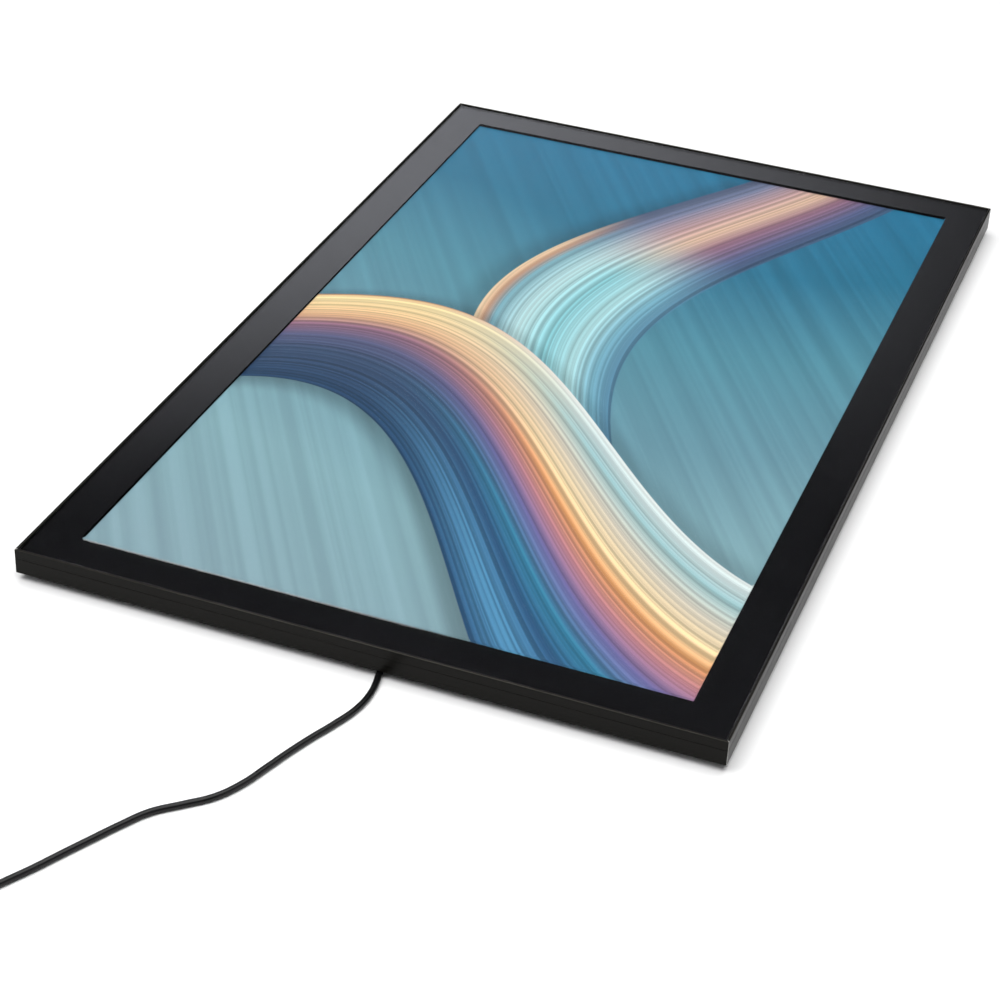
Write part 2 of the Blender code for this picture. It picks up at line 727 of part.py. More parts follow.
# ---- Power cord ----
def coil_point(radius, degrees, z):
    a = math.radians(degrees)
    x = COIL_CENTRE[0] + radius * math.cos(a)
    y = COIL_CENTRE[1] + radius * math.sin(a)
    return Vector((x, y, z))


def make_cord():
    route = [Vector((x, y, CORD_Z)) for x, y in CORD_ROUTE]
    route[0].z = BOOT_HEIGHTS[1]
    route[1].z = (BOOT_HEIGHTS[1] + CORD_Z) / 2
    line = smooth_line(route, CORD_STEP)
    tube("power_cord", line, [CORD_RADIUS] * len(line), CORD_SHEATH)


def make_coil():
    corner = CORD_RADIUS * 0.5
    profile = [
        (COIL_INNER + corner, COIL_TOP),
        (COIL_OUTER - corner, COIL_TOP),
        (COIL_OUTER, COIL_TOP - corner),
        (COIL_OUTER, COIL_LIFT + corner),
        (COIL_OUTER - corner, COIL_LIFT),
        (COIL_INNER + corner, COIL_LIFT),
        (COIL_INNER, COIL_LIFT + corner),
        (COIL_INNER, COIL_TOP - corner),
        (COIL_INNER + corner, COIL_TOP),
    ]
    turned("cord_coil", profile, CORD_SHEATH, (*COIL_CENTRE, 0.0), steps=48)
    opening_low, opening_high = COIL_LIFT - GAP, COIL_TOP + GAP
    inside = COIL_INNER - 0.0018
    outside = COIL_OUTER + GAP
    loop = [
        rectangle(
            inside - TIE_THICKNESS,
            opening_low - TIE_THICKNESS,
            outside + TIE_THICKNESS,
            opening_high + TIE_THICKNESS,
        ),
        rectangle(inside, opening_low, outside, opening_high),
    ]
    item = bpy.data.objects.new("cord_tie", outline_mesh("cord_tie", loop, TIE_WIDTH / 2))
    rotation = (QUARTER, 0.0, math.radians(TIE_ANGLE))
    place(item, TIE_FABRIC, (*COIL_CENTRE, 0.0), rotation)


def make_tail_and_plug():
    """The cord leaves the coil's side on the table, and ends in the plug that lies beside it."""
    radius = COIL_OUTER + GAP + CORD_RADIUS
    steps = 5
    arc = []
    for i in range(steps + 1):
        degrees = TAIL_START + (TAIL_LEAVES - TAIL_START) * i / steps
        arc.append(coil_point(radius, degrees, CORD_Z))
    a = math.radians(TAIL_LEAVES)
    heading = Vector((math.sin(a), -math.cos(a), 0.0))
    axis_z = PLUG_BODY_RADIUS + 0.0001
    leave = arc[-1]
    rises = [(0.35, 0.0), (0.6, 0.25), (0.8, 0.7), (1.0, 1.0)]
    for along, rise in rises:
        point = leave + heading * (TAIL_LENGTH * along)
        point.z = CORD_Z + (axis_z - CORD_Z) * rise
        arc.append(point)
    tube("cord_tail", arc, [CORD_RADIUS] * len(arc), CORD_SHEATH)

    facing = heading.to_track_quat("Z", "Y").to_euler()
    relief_start = arc[-1] + heading * GAP
    body_start = relief_start + heading * (RELIEF_LENGTH + GAP)
    barrel_start = body_start + heading * (PLUG_BODY_LENGTH + GAP)
    relief = [
        (0.0, RELIEF_LENGTH),
        (PLUG_BODY_RADIUS * 0.75, RELIEF_LENGTH),
        (CORD_RADIUS * 1.25, 0.0),
        (0.0, 0.0),
    ]
    turned("plug_strain_relief", relief, BLACK_RUBBER, relief_start, facing)
    body = [
        (0.0, PLUG_BODY_LENGTH),
        (PLUG_BODY_RADIUS * 0.86, PLUG_BODY_LENGTH),
        (PLUG_BODY_RADIUS, PLUG_BODY_LENGTH - 0.0008),
        (PLUG_BODY_RADIUS, 0.004),
        (PLUG_BODY_RADIUS * 0.84, 0.0),
        (0.0, 0.0),
    ]
    turned("plug_body", body, BLACK_PLASTIC, body_start, facing)
    barrel = [
        (0.0, 0.001),
        (BARREL_BORE, 0.001),
        (BARREL_BORE, BARREL_LENGTH),
        (BARREL_RADIUS - 0.0003, BARREL_LENGTH),
        (BARREL_RADIUS, BARREL_LENGTH - 0.0003),
        (BARREL_RADIUS, 0.0),
        (0.0, 0.0),
    ]
    turned("plug_barrel", barrel, BRIGHT_METAL, barrel_start, facing)


clear_scene()
PARTS = new_collection("light_table")
CUTTERS = new_collection("cutters")

BLACK_ALUMINIUM = new_material("black_anodised_aluminium", (0.014, 0.013, 0.011), 0.35, 0.9)
CLEAR_ACRYLIC = new_material("clear_acrylic", (0.80, 0.86, 0.88), 0.05)
OPAL_ACRYLIC = new_material("opal_acrylic", (0.90, 0.90, 0.88), 0.4)
PRINTED_FILM = new_material("printed_film", (0.10, 0.38, 0.47), 0.35)
BLACK_PRINT = new_material("black_border_print", (0.01, 0.01, 0.012), 0.3)
WHITE_SHEET = new_material("white_reflector", (0.88, 0.88, 0.86), 0.5)
BLACK_FOAM = new_material("black_foam", (0.03, 0.03, 0.03), 0.95)
PANEL_GREY = new_material("coated_back_panel", (0.05, 0.05, 0.055), 0.5)
LED_WHITE = new_material("led_board", (0.85, 0.84, 0.75), 0.4)
MAGNET_BROWN = new_material("magnet_rubber", (0.05, 0.035, 0.03), 0.8)
STRIP_STEEL = new_material("strip_steel", (0.42, 0.42, 0.43), 0.4, 1.0)
DARK_STEEL = new_material("black_screw_steel", (0.05, 0.05, 0.05), 0.4, 0.9)
ZINC = new_material("zinc_plated_steel", (0.55, 0.56, 0.58), 0.35, 1.0)
BLACK_RUBBER = new_material("black_rubber", (0.015, 0.015, 0.015), 0.75)
BLACK_PLASTIC = new_material("black_plastic", (0.02, 0.02, 0.02), 0.45)
CORD_SHEATH = new_material("cord_sheath", (0.012, 0.012, 0.012), 0.4)
LEAD_SHEATH = new_material("lead_sheath", (0.30, 0.02, 0.02), 0.45)
BRIGHT_METAL = new_material("nickel_barrel", (0.70, 0.70, 0.68), 0.2, 1.0)
TIE_FABRIC = new_material("tie_fabric", (0.02, 0.02, 0.02), 0.9)

make_frame()
make_corner_keys()
make_back_panel()
make_backing_foam()
make_light_stack()
make_led_strips()
make_edge_strips("magnet_strip", MAGNET_BOTTOM, MAGNET_THICKNESS, MAGNET_BROWN)
make_cover()
make_edge_strips("steel_strip", STEEL_BOTTOM, STEEL_THICKNESS, STRIP_STEEL)
make_back_screws()
make_hangers()
make_feet()
make_outlet()
make_led_leads()
make_cord()
make_coil()
make_tail_and_plug()
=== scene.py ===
"""The finished looks of the slim LED light table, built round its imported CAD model.

Everything is in metres in the model's own frame: X along the short sides, Y along the long sides with
+Y away from the cord, and Z up from the surface that the feet stand on.
"""

import math

import bmesh
import bpy
from mathutils import Euler, Matrix, Vector


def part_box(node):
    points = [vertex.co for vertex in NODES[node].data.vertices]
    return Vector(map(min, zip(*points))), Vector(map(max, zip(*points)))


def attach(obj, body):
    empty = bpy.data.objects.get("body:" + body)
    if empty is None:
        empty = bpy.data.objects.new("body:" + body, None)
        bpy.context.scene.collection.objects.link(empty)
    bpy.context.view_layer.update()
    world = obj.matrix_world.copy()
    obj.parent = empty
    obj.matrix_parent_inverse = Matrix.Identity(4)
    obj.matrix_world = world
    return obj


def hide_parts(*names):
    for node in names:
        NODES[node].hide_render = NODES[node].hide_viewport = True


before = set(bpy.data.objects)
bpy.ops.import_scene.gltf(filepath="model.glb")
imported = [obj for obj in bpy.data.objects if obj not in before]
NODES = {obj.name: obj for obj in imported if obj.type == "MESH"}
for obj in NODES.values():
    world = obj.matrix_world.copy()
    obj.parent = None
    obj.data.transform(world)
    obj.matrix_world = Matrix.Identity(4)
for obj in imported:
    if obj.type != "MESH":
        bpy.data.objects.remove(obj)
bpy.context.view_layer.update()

MM = 0.001
SIDES = ("near", "right", "far", "left")
CORNERS = ("near_left", "near_right", "far_left", "far_right")

# ---- Camera: its place in metres, its lens in mm and its angles in degrees ----
CAMERA_PLACE = (0.49732, -1.53254, 0.95598)
CAMERA_LENS = 86.65
CAMERA_SENSOR = 36.0
CAMERA_CLIP = 0.01
CAMERA_AZIMUTH = 19.62
CAMERA_ELEVATION = 33.53
CAMERA_ROLL = 2.76

# ---- Floor, studio and lights ----
FLOOR_HALF_SIZE = 30.0
FLOOR_FADE = (1.7, 2.5)  # distances from the table's middle between which the floor fades out
SKY_LEVEL = 0.022
SKY_COLOUR = (0.95, 0.965, 1.05, 1.0)
WALL_LEVEL = 0.78
WALL_START = (3.0, 26.0)  # degrees to the left of +Y, over which the wall comes in
WALL_FINISH = (70.0, 110.0)  # and over which it goes again
WALL_TOP = (0.435, 0.56)  # sines of the heights between which it ends
CAMERA_SKY_LEVEL = 1.2
LIGHTS = [  # name, size, place, the point it is aimed at, and power in watts
    ("overhead", (3.2, 3.2), (0.0, -0.3, 2.4), (0.0, -0.3, 0.0), 124.0),
    ("front_left", (1.4, 1.0), (-1.75, -2.4, 2.35), (-0.1, -0.3, 0.0), 22.0),
    ("right_side", (1.6, 0.4), (1.9, -0.5, 0.35), (0.0, -0.55, 0.0), 5.0),
]

# ---- Power cord, in metres ----
CORD_RADIUS = 0.00225
CORD_Z = 0.00235
BOOT_TIP_Z = 0.0028
CORD_INSIDE_BOOT = 0.012
INSIDE_BOOT_RISE = 0.0007
CORD_ROUTE = [
    (0.0140, -0.3803), (0.0143, -0.3890), (0.0163, -0.3990), (0.0193, -0.4180),
    (0.0175, -0.4375), (0.0112, -0.4565), (0.0036, -0.4750), (-0.0033, -0.4937),
    (-0.0095, -0.5127), (-0.0160, -0.5316), (-0.0258, -0.5490), (-0.0401, -0.5630),
    (-0.0545, -0.5767), (-0.0649, -0.5937), (-0.0743, -0.6114), (-0.0835, -0.6290),
    (-0.0927, -0.6470), (-0.1025, -0.6643), (-0.1150, -0.6874),
]
COIL_CENTRE = (-0.151, -0.689)
COIL_COLUMN_RADII = (0.0309, 0.0263, 0.0217, 0.0171)
COIL_LIFT = 0.0011
LAYER_RISE = 0.0046
COIL_START = -30.0  # degrees round the coil, where the cord joins it
COIL_TURNS = 7.25
TURN_POINTS = 20
INWARD_STEPS = ((0.72, 1.0), (1.72, 2.0), (2.72, 3.0))  # turns in which it changes column
CLIMB = (3.4, 3.68)  # turns in which it climbs to the upper layer
OUTWARD_STEPS = ((4.35, 4.65), (5.35, 5.65), (6.35, 6.65))  # and changes column on top
DESCENT = (7.0, 7.2)  # turns in which it swings down beside the outer column
DESCENT_DEGREES = 102
DESCENT_REACH = 0.00485
DESCENT_RISE = 0.00470
TAIL_RADIUS = 0.03575
TAIL_LENGTH = 0.030
TAIL_RISE = ((0.35, 0.0), (0.6, 0.25), (0.8, 0.7), (1.0, 1.0), (1.15, 1.0))  # shares of the whole
TIE_ANGLE = 150.0
TIE_CLEAR_DEGREES = (12, 55)  # from the tie, over which the raised coil comes down to the table
TIE_THICKNESS = 0.0008
TIE_WIDTH = 0.012
PIECE_GAP = 0.0003
BOOT_RADII = (0.0039, 0.0026)
RELIEF_LENGTH = 0.016
PLUG_BODY_LENGTH = 0.024
PLUG_RADIUS = 0.005
BARREL_LENGTH = 0.0095
BARREL_RADIUS = 0.00275
BARREL_BORE = 0.00115

# ---- The frame's extrusion, in mm: distance in from its outer face, height, and corner radius ----
PROFILE_OUTLINE = [
    (0.0, 0.0, 0.35), (1.8, 0.0, 0.20), (1.8, 3.3, 0.10), (16.0, 3.3, 0.20),
    (16.0, 4.8, 0.20), (7.2, 4.8, 0.30), (7.2, 10.2, 0.30), (21.5, 10.2, 0.20),
    (21.5, 11.6, 0.30), (1.8, 11.6, 0.20), (1.8, 19.0, 0.50), (0.0, 19.0, 0.50),
    (0.0, 11.9, 0.06), (0.2, 11.9, 0.08), (0.2, 11.5, 0.08), (0.0, 11.5, 0.06),
]
PROFILE_CHAMBER = [(1.8, 4.8, 0.3), (6.0, 4.8, 0.3), (6.0, 10.2, 0.3), (1.8, 10.2, 0.3)]
MITRE_SETBACK = 0.00005
MITRE_EASING = {"near": 0.00008, "right": 0.00025, "far": 0.00008, "left": 0.00025}
RIM_WIDTH = 0.0018
WINDOW_INSET = 0.033  # from the frame's outer faces to the printed border's inner edge
RIM_ROUND = 0.0005
PROFILE_TOP = 0.019
CUT_BAND = 0.0006  # the bare metal at a mitre lies within this of the cut
FLANGE_HEIGHTS = (0.0033, 0.0048)
SCREW_HOLE_RADIUS = 0.0016
BACK_SCREW_SIZES = (0.0013, 0.0028, 0.0016)  # shank radius, head radius, head height
HANGER_SCREW_SIZES = (0.0011, 0.0023, 0.0012)
WIRE_NOTCH = 0.012
WIRE_NOTCH_INSET = (0.0075, 0.017)

PICTURE_REACH = 1.69  # the window's half length over its half width
PICTURE_REFLECTS = 0.25  # how much of the film's colour room light shows
PICTURE_GLOW = 0.68
DIFFUSER_GLOW = 0.55
LED_PROUD = 0.00025  # an LED's yellow face stands out from its board by more than this

# Roughness, grain per metre, its detail, its darkest and lightest colours, and its depth and strength
REFLECTOR_GRAIN = (0.45, 700.0, 3.0, (232, 232, 228), (244, 244, 242), 0.00002, 0.4)
MAGNET_GRAIN = (0.75, 1100.0, 4.0, (52, 41, 36), (72, 58, 50), 0.00006, 0.6)
LEAD_GRAIN = (0.4, 900.0, 3.0, (140, 18, 18), (170, 28, 26), 0.00002, 0.4)


# ---- Small helpers ----
def smooth_step(value, low, high):
    t = min(1.0, max(0.0, (value - low) / (high - low)))
    return t * t * (3 - 2 * t)


def middle(node):
    low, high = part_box(node)
    return (low + high) / 2


def add_object(name, data, location=(0, 0, 0), rotation=(0, 0, 0)):
    item = bpy.data.objects.new(name, data)
    bpy.context.scene.collection.objects.link(item)
    item.location = location
    item.rotation_euler = rotation
    return item


def baked(item):
    """The object with its modifiers or curve turned into a plain mesh."""
    graph = bpy.context.evaluated_depsgraph_get()
    mesh = bpy.data.meshes.new_from_object(item.evaluated_get(graph))
    name = item.name
    matrix = item.matrix_world.copy()
    bpy.data.objects.remove(item, do_unlink=True)
    result = add_object(name, mesh)
    result.matrix_world = matrix
    return result


def soften(mesh, degrees=35):
    """Smooth shading, with sharp edges where the faces turn by more than this."""
    mesh.shade_smooth()
    mesh.set_sharp_from_angle(angle=math.radians(degrees))


def shade_rounds(mesh):
    """Flat shading on faces square to the piece's own axes, and smooth on the rounds between."""
    for face in mesh.polygons:
        face.use_smooth = max(abs(part) for part in face.normal) < 0.9999


def plain_copy(mesh):
    """A copy of an imported mesh without its stored normals."""
    copy = mesh.copy()
    for name in ("custom_normal", "sharp_edge", "sharp_face"):
        if name in copy.attributes:
            copy.attributes.remove(copy.attributes[name])
    return copy


def mesh_from(shape, name):
    mesh = bpy.data.meshes.new(name)
    shape.to_mesh(mesh)
    shape.free()
    return mesh


def rounded_outline(corners, steps=3):
    """The closed outline through right-angled (x, y, radius) corners, each one rounded by an arc."""
    line = []
    for i, (x, y, radius) in enumerate(corners):
        here = Vector((x, y))
        before = (Vector(corners[i - 1][:2]) - here).normalized()
        after = (Vector(corners[(i + 1) % len(corners)][:2]) - here).normalized()
        centre = here + (before + after) * radius
        for j in range(steps + 1):
            a = math.pi / 2 * j / steps
            line.append(centre - after * (radius * math.cos(a)) - before * (radius * math.sin(a)))
    return line


def bevelled(item, radius, segments):
    """The object with its sharp edges rounded by this radius."""
    bevel = item.modifiers.new("ease", "BEVEL")
    bevel.width = radius
    bevel.segments = segments
    bevel.limit_method = "ANGLE"
    bevel.angle_limit = math.radians(30)
    bpy.context.view_layer.update()
    return baked(item)


def extruded_mesh(name, outlines, half_depth):
    """A flat shape pushed out along Z both ways: its rim is the first outline, its holes the others."""
    curve = bpy.data.curves.new(name, "CURVE")
    curve.dimensions = "2D"
    curve.fill_mode = "BOTH"
    curve.extrude = half_depth
    for outline in outlines:
        spline = curve.splines.new("POLY")
        spline.points.add(len(outline) - 1)
        for point, (x, y) in zip(spline.points, outline):
            point.co = (x, y, 0.0, 1.0)
        spline.use_cyclic_u = True
    item = baked(add_object(name, curve))
    mesh = item.data
    bpy.data.objects.remove(item, do_unlink=True)
    shape = bmesh.new()
    shape.from_mesh(mesh)
    bmesh.ops.remove_doubles(shape, verts=shape.verts, dist=0.000004)
    shape.to_mesh(mesh)
    shape.free()
    return mesh


def turned_mesh(name, profile, steps=48):
    """A turned shape round Z, from a profile of (radius, height) points."""
    shape = bmesh.new()
    verts = [shape.verts.new((radius, 0.0, height)) for radius, height in profile]
    edges = [shape.edges.new(pair) for pair in zip(verts, verts[1:])]
    turn = {"cent": (0, 0, 0), "axis": (0, 0, 1), "angle": 2 * math.pi}
    bmesh.ops.spin(shape, geom=verts + edges, steps=steps, **turn)
    bmesh.ops.remove_doubles(shape, verts=shape.verts, dist=0.000004)
    bmesh.ops.recalc_face_normals(shape, faces=shape.faces)
    mesh = mesh_from(shape, name)
    soften(mesh, 32)
    return mesh


def arc(centre_radius, centre_height, radius, start, finish, steps=5):
    """Points of an arc in a turned profile, with its angles in degrees from straight out."""
    points = []
    for i in range(steps + 1):
        a = math.radians(start + (finish - start) * i / steps)
        points.append((centre_radius + radius * math.cos(a), centre_height + radius * math.sin(a)))
    return points


def box_cutter(low, high):
    shape = bmesh.new()
    bmesh.ops.create_cube(shape, size=1.0)
    size = Vector(high) - Vector(low)
    bmesh.ops.scale(shape, vec=size, verts=shape.verts)
    bmesh.ops.translate(shape, vec=(Vector(low) + Vector(high)) / 2, verts=shape.verts)
    return add_object("cutter", mesh_from(shape, "cutter"))


def round_cutter(x, y, radius, low_z, high_z):
    mesh = turned_mesh("cutter", [(0, high_z), (radius, high_z), (radius, low_z), (0, low_z)], 24)
    return add_object("cutter", mesh, (x, y, 0.0))


def cut_away(item, cutters):
    """Cuts these shapes out of the object, and removes them."""
    for cutter in cutters:
        boolean = item.modifiers.new("cut", "BOOLEAN")
        boolean.object = cutter
        boolean.solver = "EXACT"
    item = baked(item)
    for cutter in cutters:
        bpy.data.objects.remove(cutter, do_unlink=True)
    return item


def eased(name, node, radius, segments):
    """A copy of a CAD node's solid with its sharp edges eased."""
    shape = bmesh.new()
    shape.from_mesh(plain_copy(NODES[node].data))
    bmesh.ops.remove_doubles(shape, verts=shape.verts, dist=0.000002)
    flat = math.radians(0.5)
    bmesh.ops.dissolve_limit(shape, angle_limit=flat, verts=shape.verts, edges=shape.edges)
    item = bevelled(add_object(name, mesh_from(shape, name)), radius, segments)
    shade_rounds(item.data)
    return item


def finish_piece(item, material, body, slot, *nodes):
    item.data.materials.clear()
    item.data.materials.append(material)
    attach(item, body)
    if nodes:
        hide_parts(*nodes)
    return item


# ---- Material helpers ----
class Field:
    """A number that varies over a surface, worked out by Math nodes in one material's tree."""

    def __init__(self, tree, socket):
        self.tree = tree
        self.socket = socket

    def math(self, operation, *values):
        node = self.tree.nodes.new("ShaderNodeMath")
        node.operation = operation
        for socket, value in zip(node.inputs, (self, *values)):
            if isinstance(value, Field):
                self.tree.links.new(value.socket, socket)
            else:
                socket.default_value = value
        return Field(self.tree, node.outputs[0])

    def __add__(self, other):
        return self.math("ADD", other)

    def __sub__(self, other):
        return self.math("SUBTRACT", other)

    def __mul__(self, other):
        return self.math("MULTIPLY", other)

    def __truediv__(self, other):
        return self.math("DIVIDE", other)

    def wave(self):
        return self.math("COSINE")

    def size(self):
        return self.math("ABSOLUTE")

    def smooth(self, low, high, start=0.0, finish=1.0):
        """Goes smoothly from start to finish as the field goes from low to high."""
        node = self.tree.nodes.new("ShaderNodeMapRange")
        node.interpolation_type = "SMOOTHSTEP"
        self.tree.links.new(self.socket, node.inputs["Value"])
        node.inputs["From Min"].default_value = low
        node.inputs["From Max"].default_value = high
        node.inputs["To Min"].default_value = start
        node.inputs["To Max"].default_value = finish
        return Field(self.tree, node.outputs["Result"])

    def noise(self, scale, detail=2.0):
        """Noise along this one number, for stripes."""
        node = self.tree.nodes.new("ShaderNodeTexNoise")
        node.noise_dimensions = "1D"
        self.tree.links.new(self.socket, node.inputs["W"])
        node.inputs["Scale"].default_value = scale
        node.inputs["Detail"].default_value = detail
        return Field(self.tree, node.outputs["Fac"])

    def ramp(self, stops):
        """A colour for each value, given as (position, (red, green, blue)) stops in sRGB, 0 to 255."""
        node = self.tree.nodes.new("ShaderNodeValToRGB")
        self.tree.links.new(self.socket, node.inputs["Fac"])
        elements = node.color_ramp.elements
        while len(elements) < len(stops):
            elements.new(0.5)
        for element, (position, colour) in zip(elements, stops):
            element.position = position
            element.color = linear(colour)
        return node.outputs["Color"]


def linear(colour):
    """A 0 to 255 sRGB colour as the linear one that shaders use."""
    parts = [part / 255 for part in colour]
    return (*[p / 12.92 if p < 0.04045 else ((p + 0.055) / 1.055) ** 2.4 for p in parts], 1.0)


class Surface:
    """One Principled material, and the nodes that give it grain."""

    def __init__(self, name, roughness=0.5, metallic=0.0, ior=1.5):
        self.material = bpy.data.materials.new(name)
        self.material.use_nodes = True
        self.tree = self.material.node_tree
        self.shader = self.tree.nodes["Principled BSDF"]
        self.set("Roughness", roughness)
        self.set("Metallic", metallic)
        self.set("IOR", ior)
        self.height = None

    def set(self, name, value):
        self.shader.inputs[name].default_value = value

    def link(self, source, name):
        socket = source.socket if isinstance(source, Field) else source
        self.tree.links.new(socket, self.shader.inputs[name])

    def place(self, stretch=(1, 1, 1)):
        """Object coordinates in metres, scaled on each axis."""
        coordinates = self.tree.nodes.new("ShaderNodeTexCoord")
        mapping = self.tree.nodes.new("ShaderNodeMapping")
        self.tree.links.new(coordinates.outputs["Object"], mapping.inputs["Vector"])
        mapping.inputs["Scale"].default_value = stretch
        return mapping.outputs["Vector"]

    def axes(self):
        """The object coordinates as three fields."""
        split = self.tree.nodes.new("ShaderNodeSeparateXYZ")
        self.tree.links.new(self.place(), split.inputs["Vector"])
        return [Field(self.tree, socket) for socket in split.outputs]

    def noise(self, scale, stretch=(1, 1, 1), detail=3.0, rough=0.5):
        node = self.tree.nodes.new("ShaderNodeTexNoise")
        self.tree.links.new(self.place(stretch), node.inputs["Vector"])
        node.inputs["Scale"].default_value = scale
        node.inputs["Detail"].default_value = detail
        node.inputs["Roughness"].default_value = rough
        return Field(self.tree, node.outputs["Fac"])

    def cells(self, scale, stretch=(1, 1, 1), feature="F1"):
        node = self.tree.nodes.new("ShaderNodeTexVoronoi")
        node.feature = feature
        self.tree.links.new(self.place(stretch), node.inputs["Vector"])
        node.inputs["Scale"].default_value = scale
        return Field(self.tree, node.outputs["Distance"])

    def mix(self, factor, first, second):
        """A colour that goes from the first to the second as the factor goes from 0 to 1."""
        node = self.tree.nodes.new("ShaderNodeMix")
        node.data_type = "RGBA"
        sockets = [s for s in node.inputs if s.enabled]
        for socket, value in zip(sockets, (factor, first, second)):
            if isinstance(value, Field):
                self.tree.links.new(value.socket, socket)
            elif isinstance(value, bpy.types.NodeSocket):
                self.tree.links.new(value, socket)
            else:
                socket.default_value = value
        return [s for s in node.outputs if s.enabled][0]

    def shade(self, colour, amount):
        """The colour times a field or a number."""
        node = self.tree.nodes.new("ShaderNodeVectorMath")
        node.operation = "SCALE"
        self.tree.links.new(colour, node.inputs[0])
        if isinstance(amount, Field):
            self.tree.links.new(amount.socket, node.inputs["Scale"])
        else:
            node.inputs["Scale"].default_value = amount
        return node.outputs["Vector"]

    def bump(self, field, depth, strength=1.0):
        """Raises the surface by up to this depth in metres where the field is high."""
        node = self.tree.nodes.new("ShaderNodeBump")
        node.inputs["Strength"].default_value = strength
        node.inputs["Distance"].default_value = depth
        self.tree.links.new(field.socket, node.inputs["Height"])
        if self.height:
            self.tree.links.new(self.height, node.inputs["Normal"])
        self.height = node.outputs["Normal"]
        self.tree.links.new(self.height, self.shader.inputs["Normal"])


# ---- Materials ----
def anodised():
    """Black anodised aluminium, brushed along the piece's own X, with its two top edges painted lighter
    and more metallic: partly wear and partly a painted highlight where they catch the light.
    """
    s = Surface("black_anodised", ior=1.2)
    s.set("Specular Tint", (1.0, 0.99, 0.95, 1.0))
    inward, up = s.axes()[1:]
    grain = s.noise(6.0, (4, 420, 420), detail=4.0, rough=0.6)
    cloud = s.noise(14.0)
    wear_and_highlight_noise = s.noise(30.0, detail=4.0)
    base = grain.ramp([(0.30, (8, 7, 6)), (0.55, (12, 11, 9)), (0.72, (21, 20, 17))])
    # Painted highlight with wear along the two top edges: a lighter colour and some metal where they
    # catch the light.
    near, far = RIM_ROUND * 0.7, RIM_ROUND * 1.1
    outer = (inward - up + PROFILE_TOP).smooth(near, far, 1.0, 0.0)
    inner = (inward * -1 - up + (PROFILE_TOP + RIM_WIDTH)).smooth(near, far, 1.0, 0.0)
    edges = (outer + inner) * up.smooth(PROFILE_TOP - 2 * RIM_ROUND, PROFILE_TOP - RIM_ROUND)
    edges = edges * wear_and_highlight_noise.smooth(0.25, 0.6, 0.55, 1.0)
    # The lighter colour here is the painted highlight on the top edges, broken up by the wear noise.
    s.link(s.mix(edges, base, linear((56, 54, 50))), "Base Color")
    s.link(edges * 0.6, "Metallic")
    s.link(grain.smooth(0.3, 0.7, 0.24, 0.36) + cloud * 0.06, "Roughness")
    s.bump(grain, 0.00002, 0.35)
    return s.material


def bare_aluminium():
    """The saw cut at a mitre, which was made after the extrusion was anodised."""
    s = Surface("bare_aluminium", metallic=1.0)
    marks = s.noise(40.0, (60, 60, 4), detail=4.0)
    s.link(marks.ramp([(0.3, (176, 176, 172)), (0.7, (206, 206, 203))]), "Base Color")
    s.link(marks.smooth(0.3, 0.7, 0.22, 0.34), "Roughness")
    s.bump(marks, 0.00001, 0.4)
    return s.material


def clear_acrylic(name, roughness=0.012, ior=1.49):
    """Polished clear acrylic. A coated part that reflects less has a lower index."""
    s = Surface(name, ior=ior)
    s.set("Transmission Weight", 1.0)
    s.set("Base Color", (0.985, 0.995, 0.992, 1.0))
    haze = s.noise(9.0, detail=4.0)
    s.link(haze.smooth(0.35, 0.75, roughness, roughness * 2.2), "Roughness")
    return s


def black_ink():
    s = Surface("black_border_ink")
    s.set("Specular IOR Level", 0.0)
    fine = s.noise(900.0)
    s.link(fine.ramp([(0.3, (20, 20, 22)), (0.7, (25, 25, 27))]), "Base Color")
    s.link(fine.smooth(0.3, 0.7, 0.7, 0.9), "Roughness")
    return s.material


def light_glow(s, colour, strength):
    s.link(colour, "Emission Color")
    s.set("Emission Strength", strength)


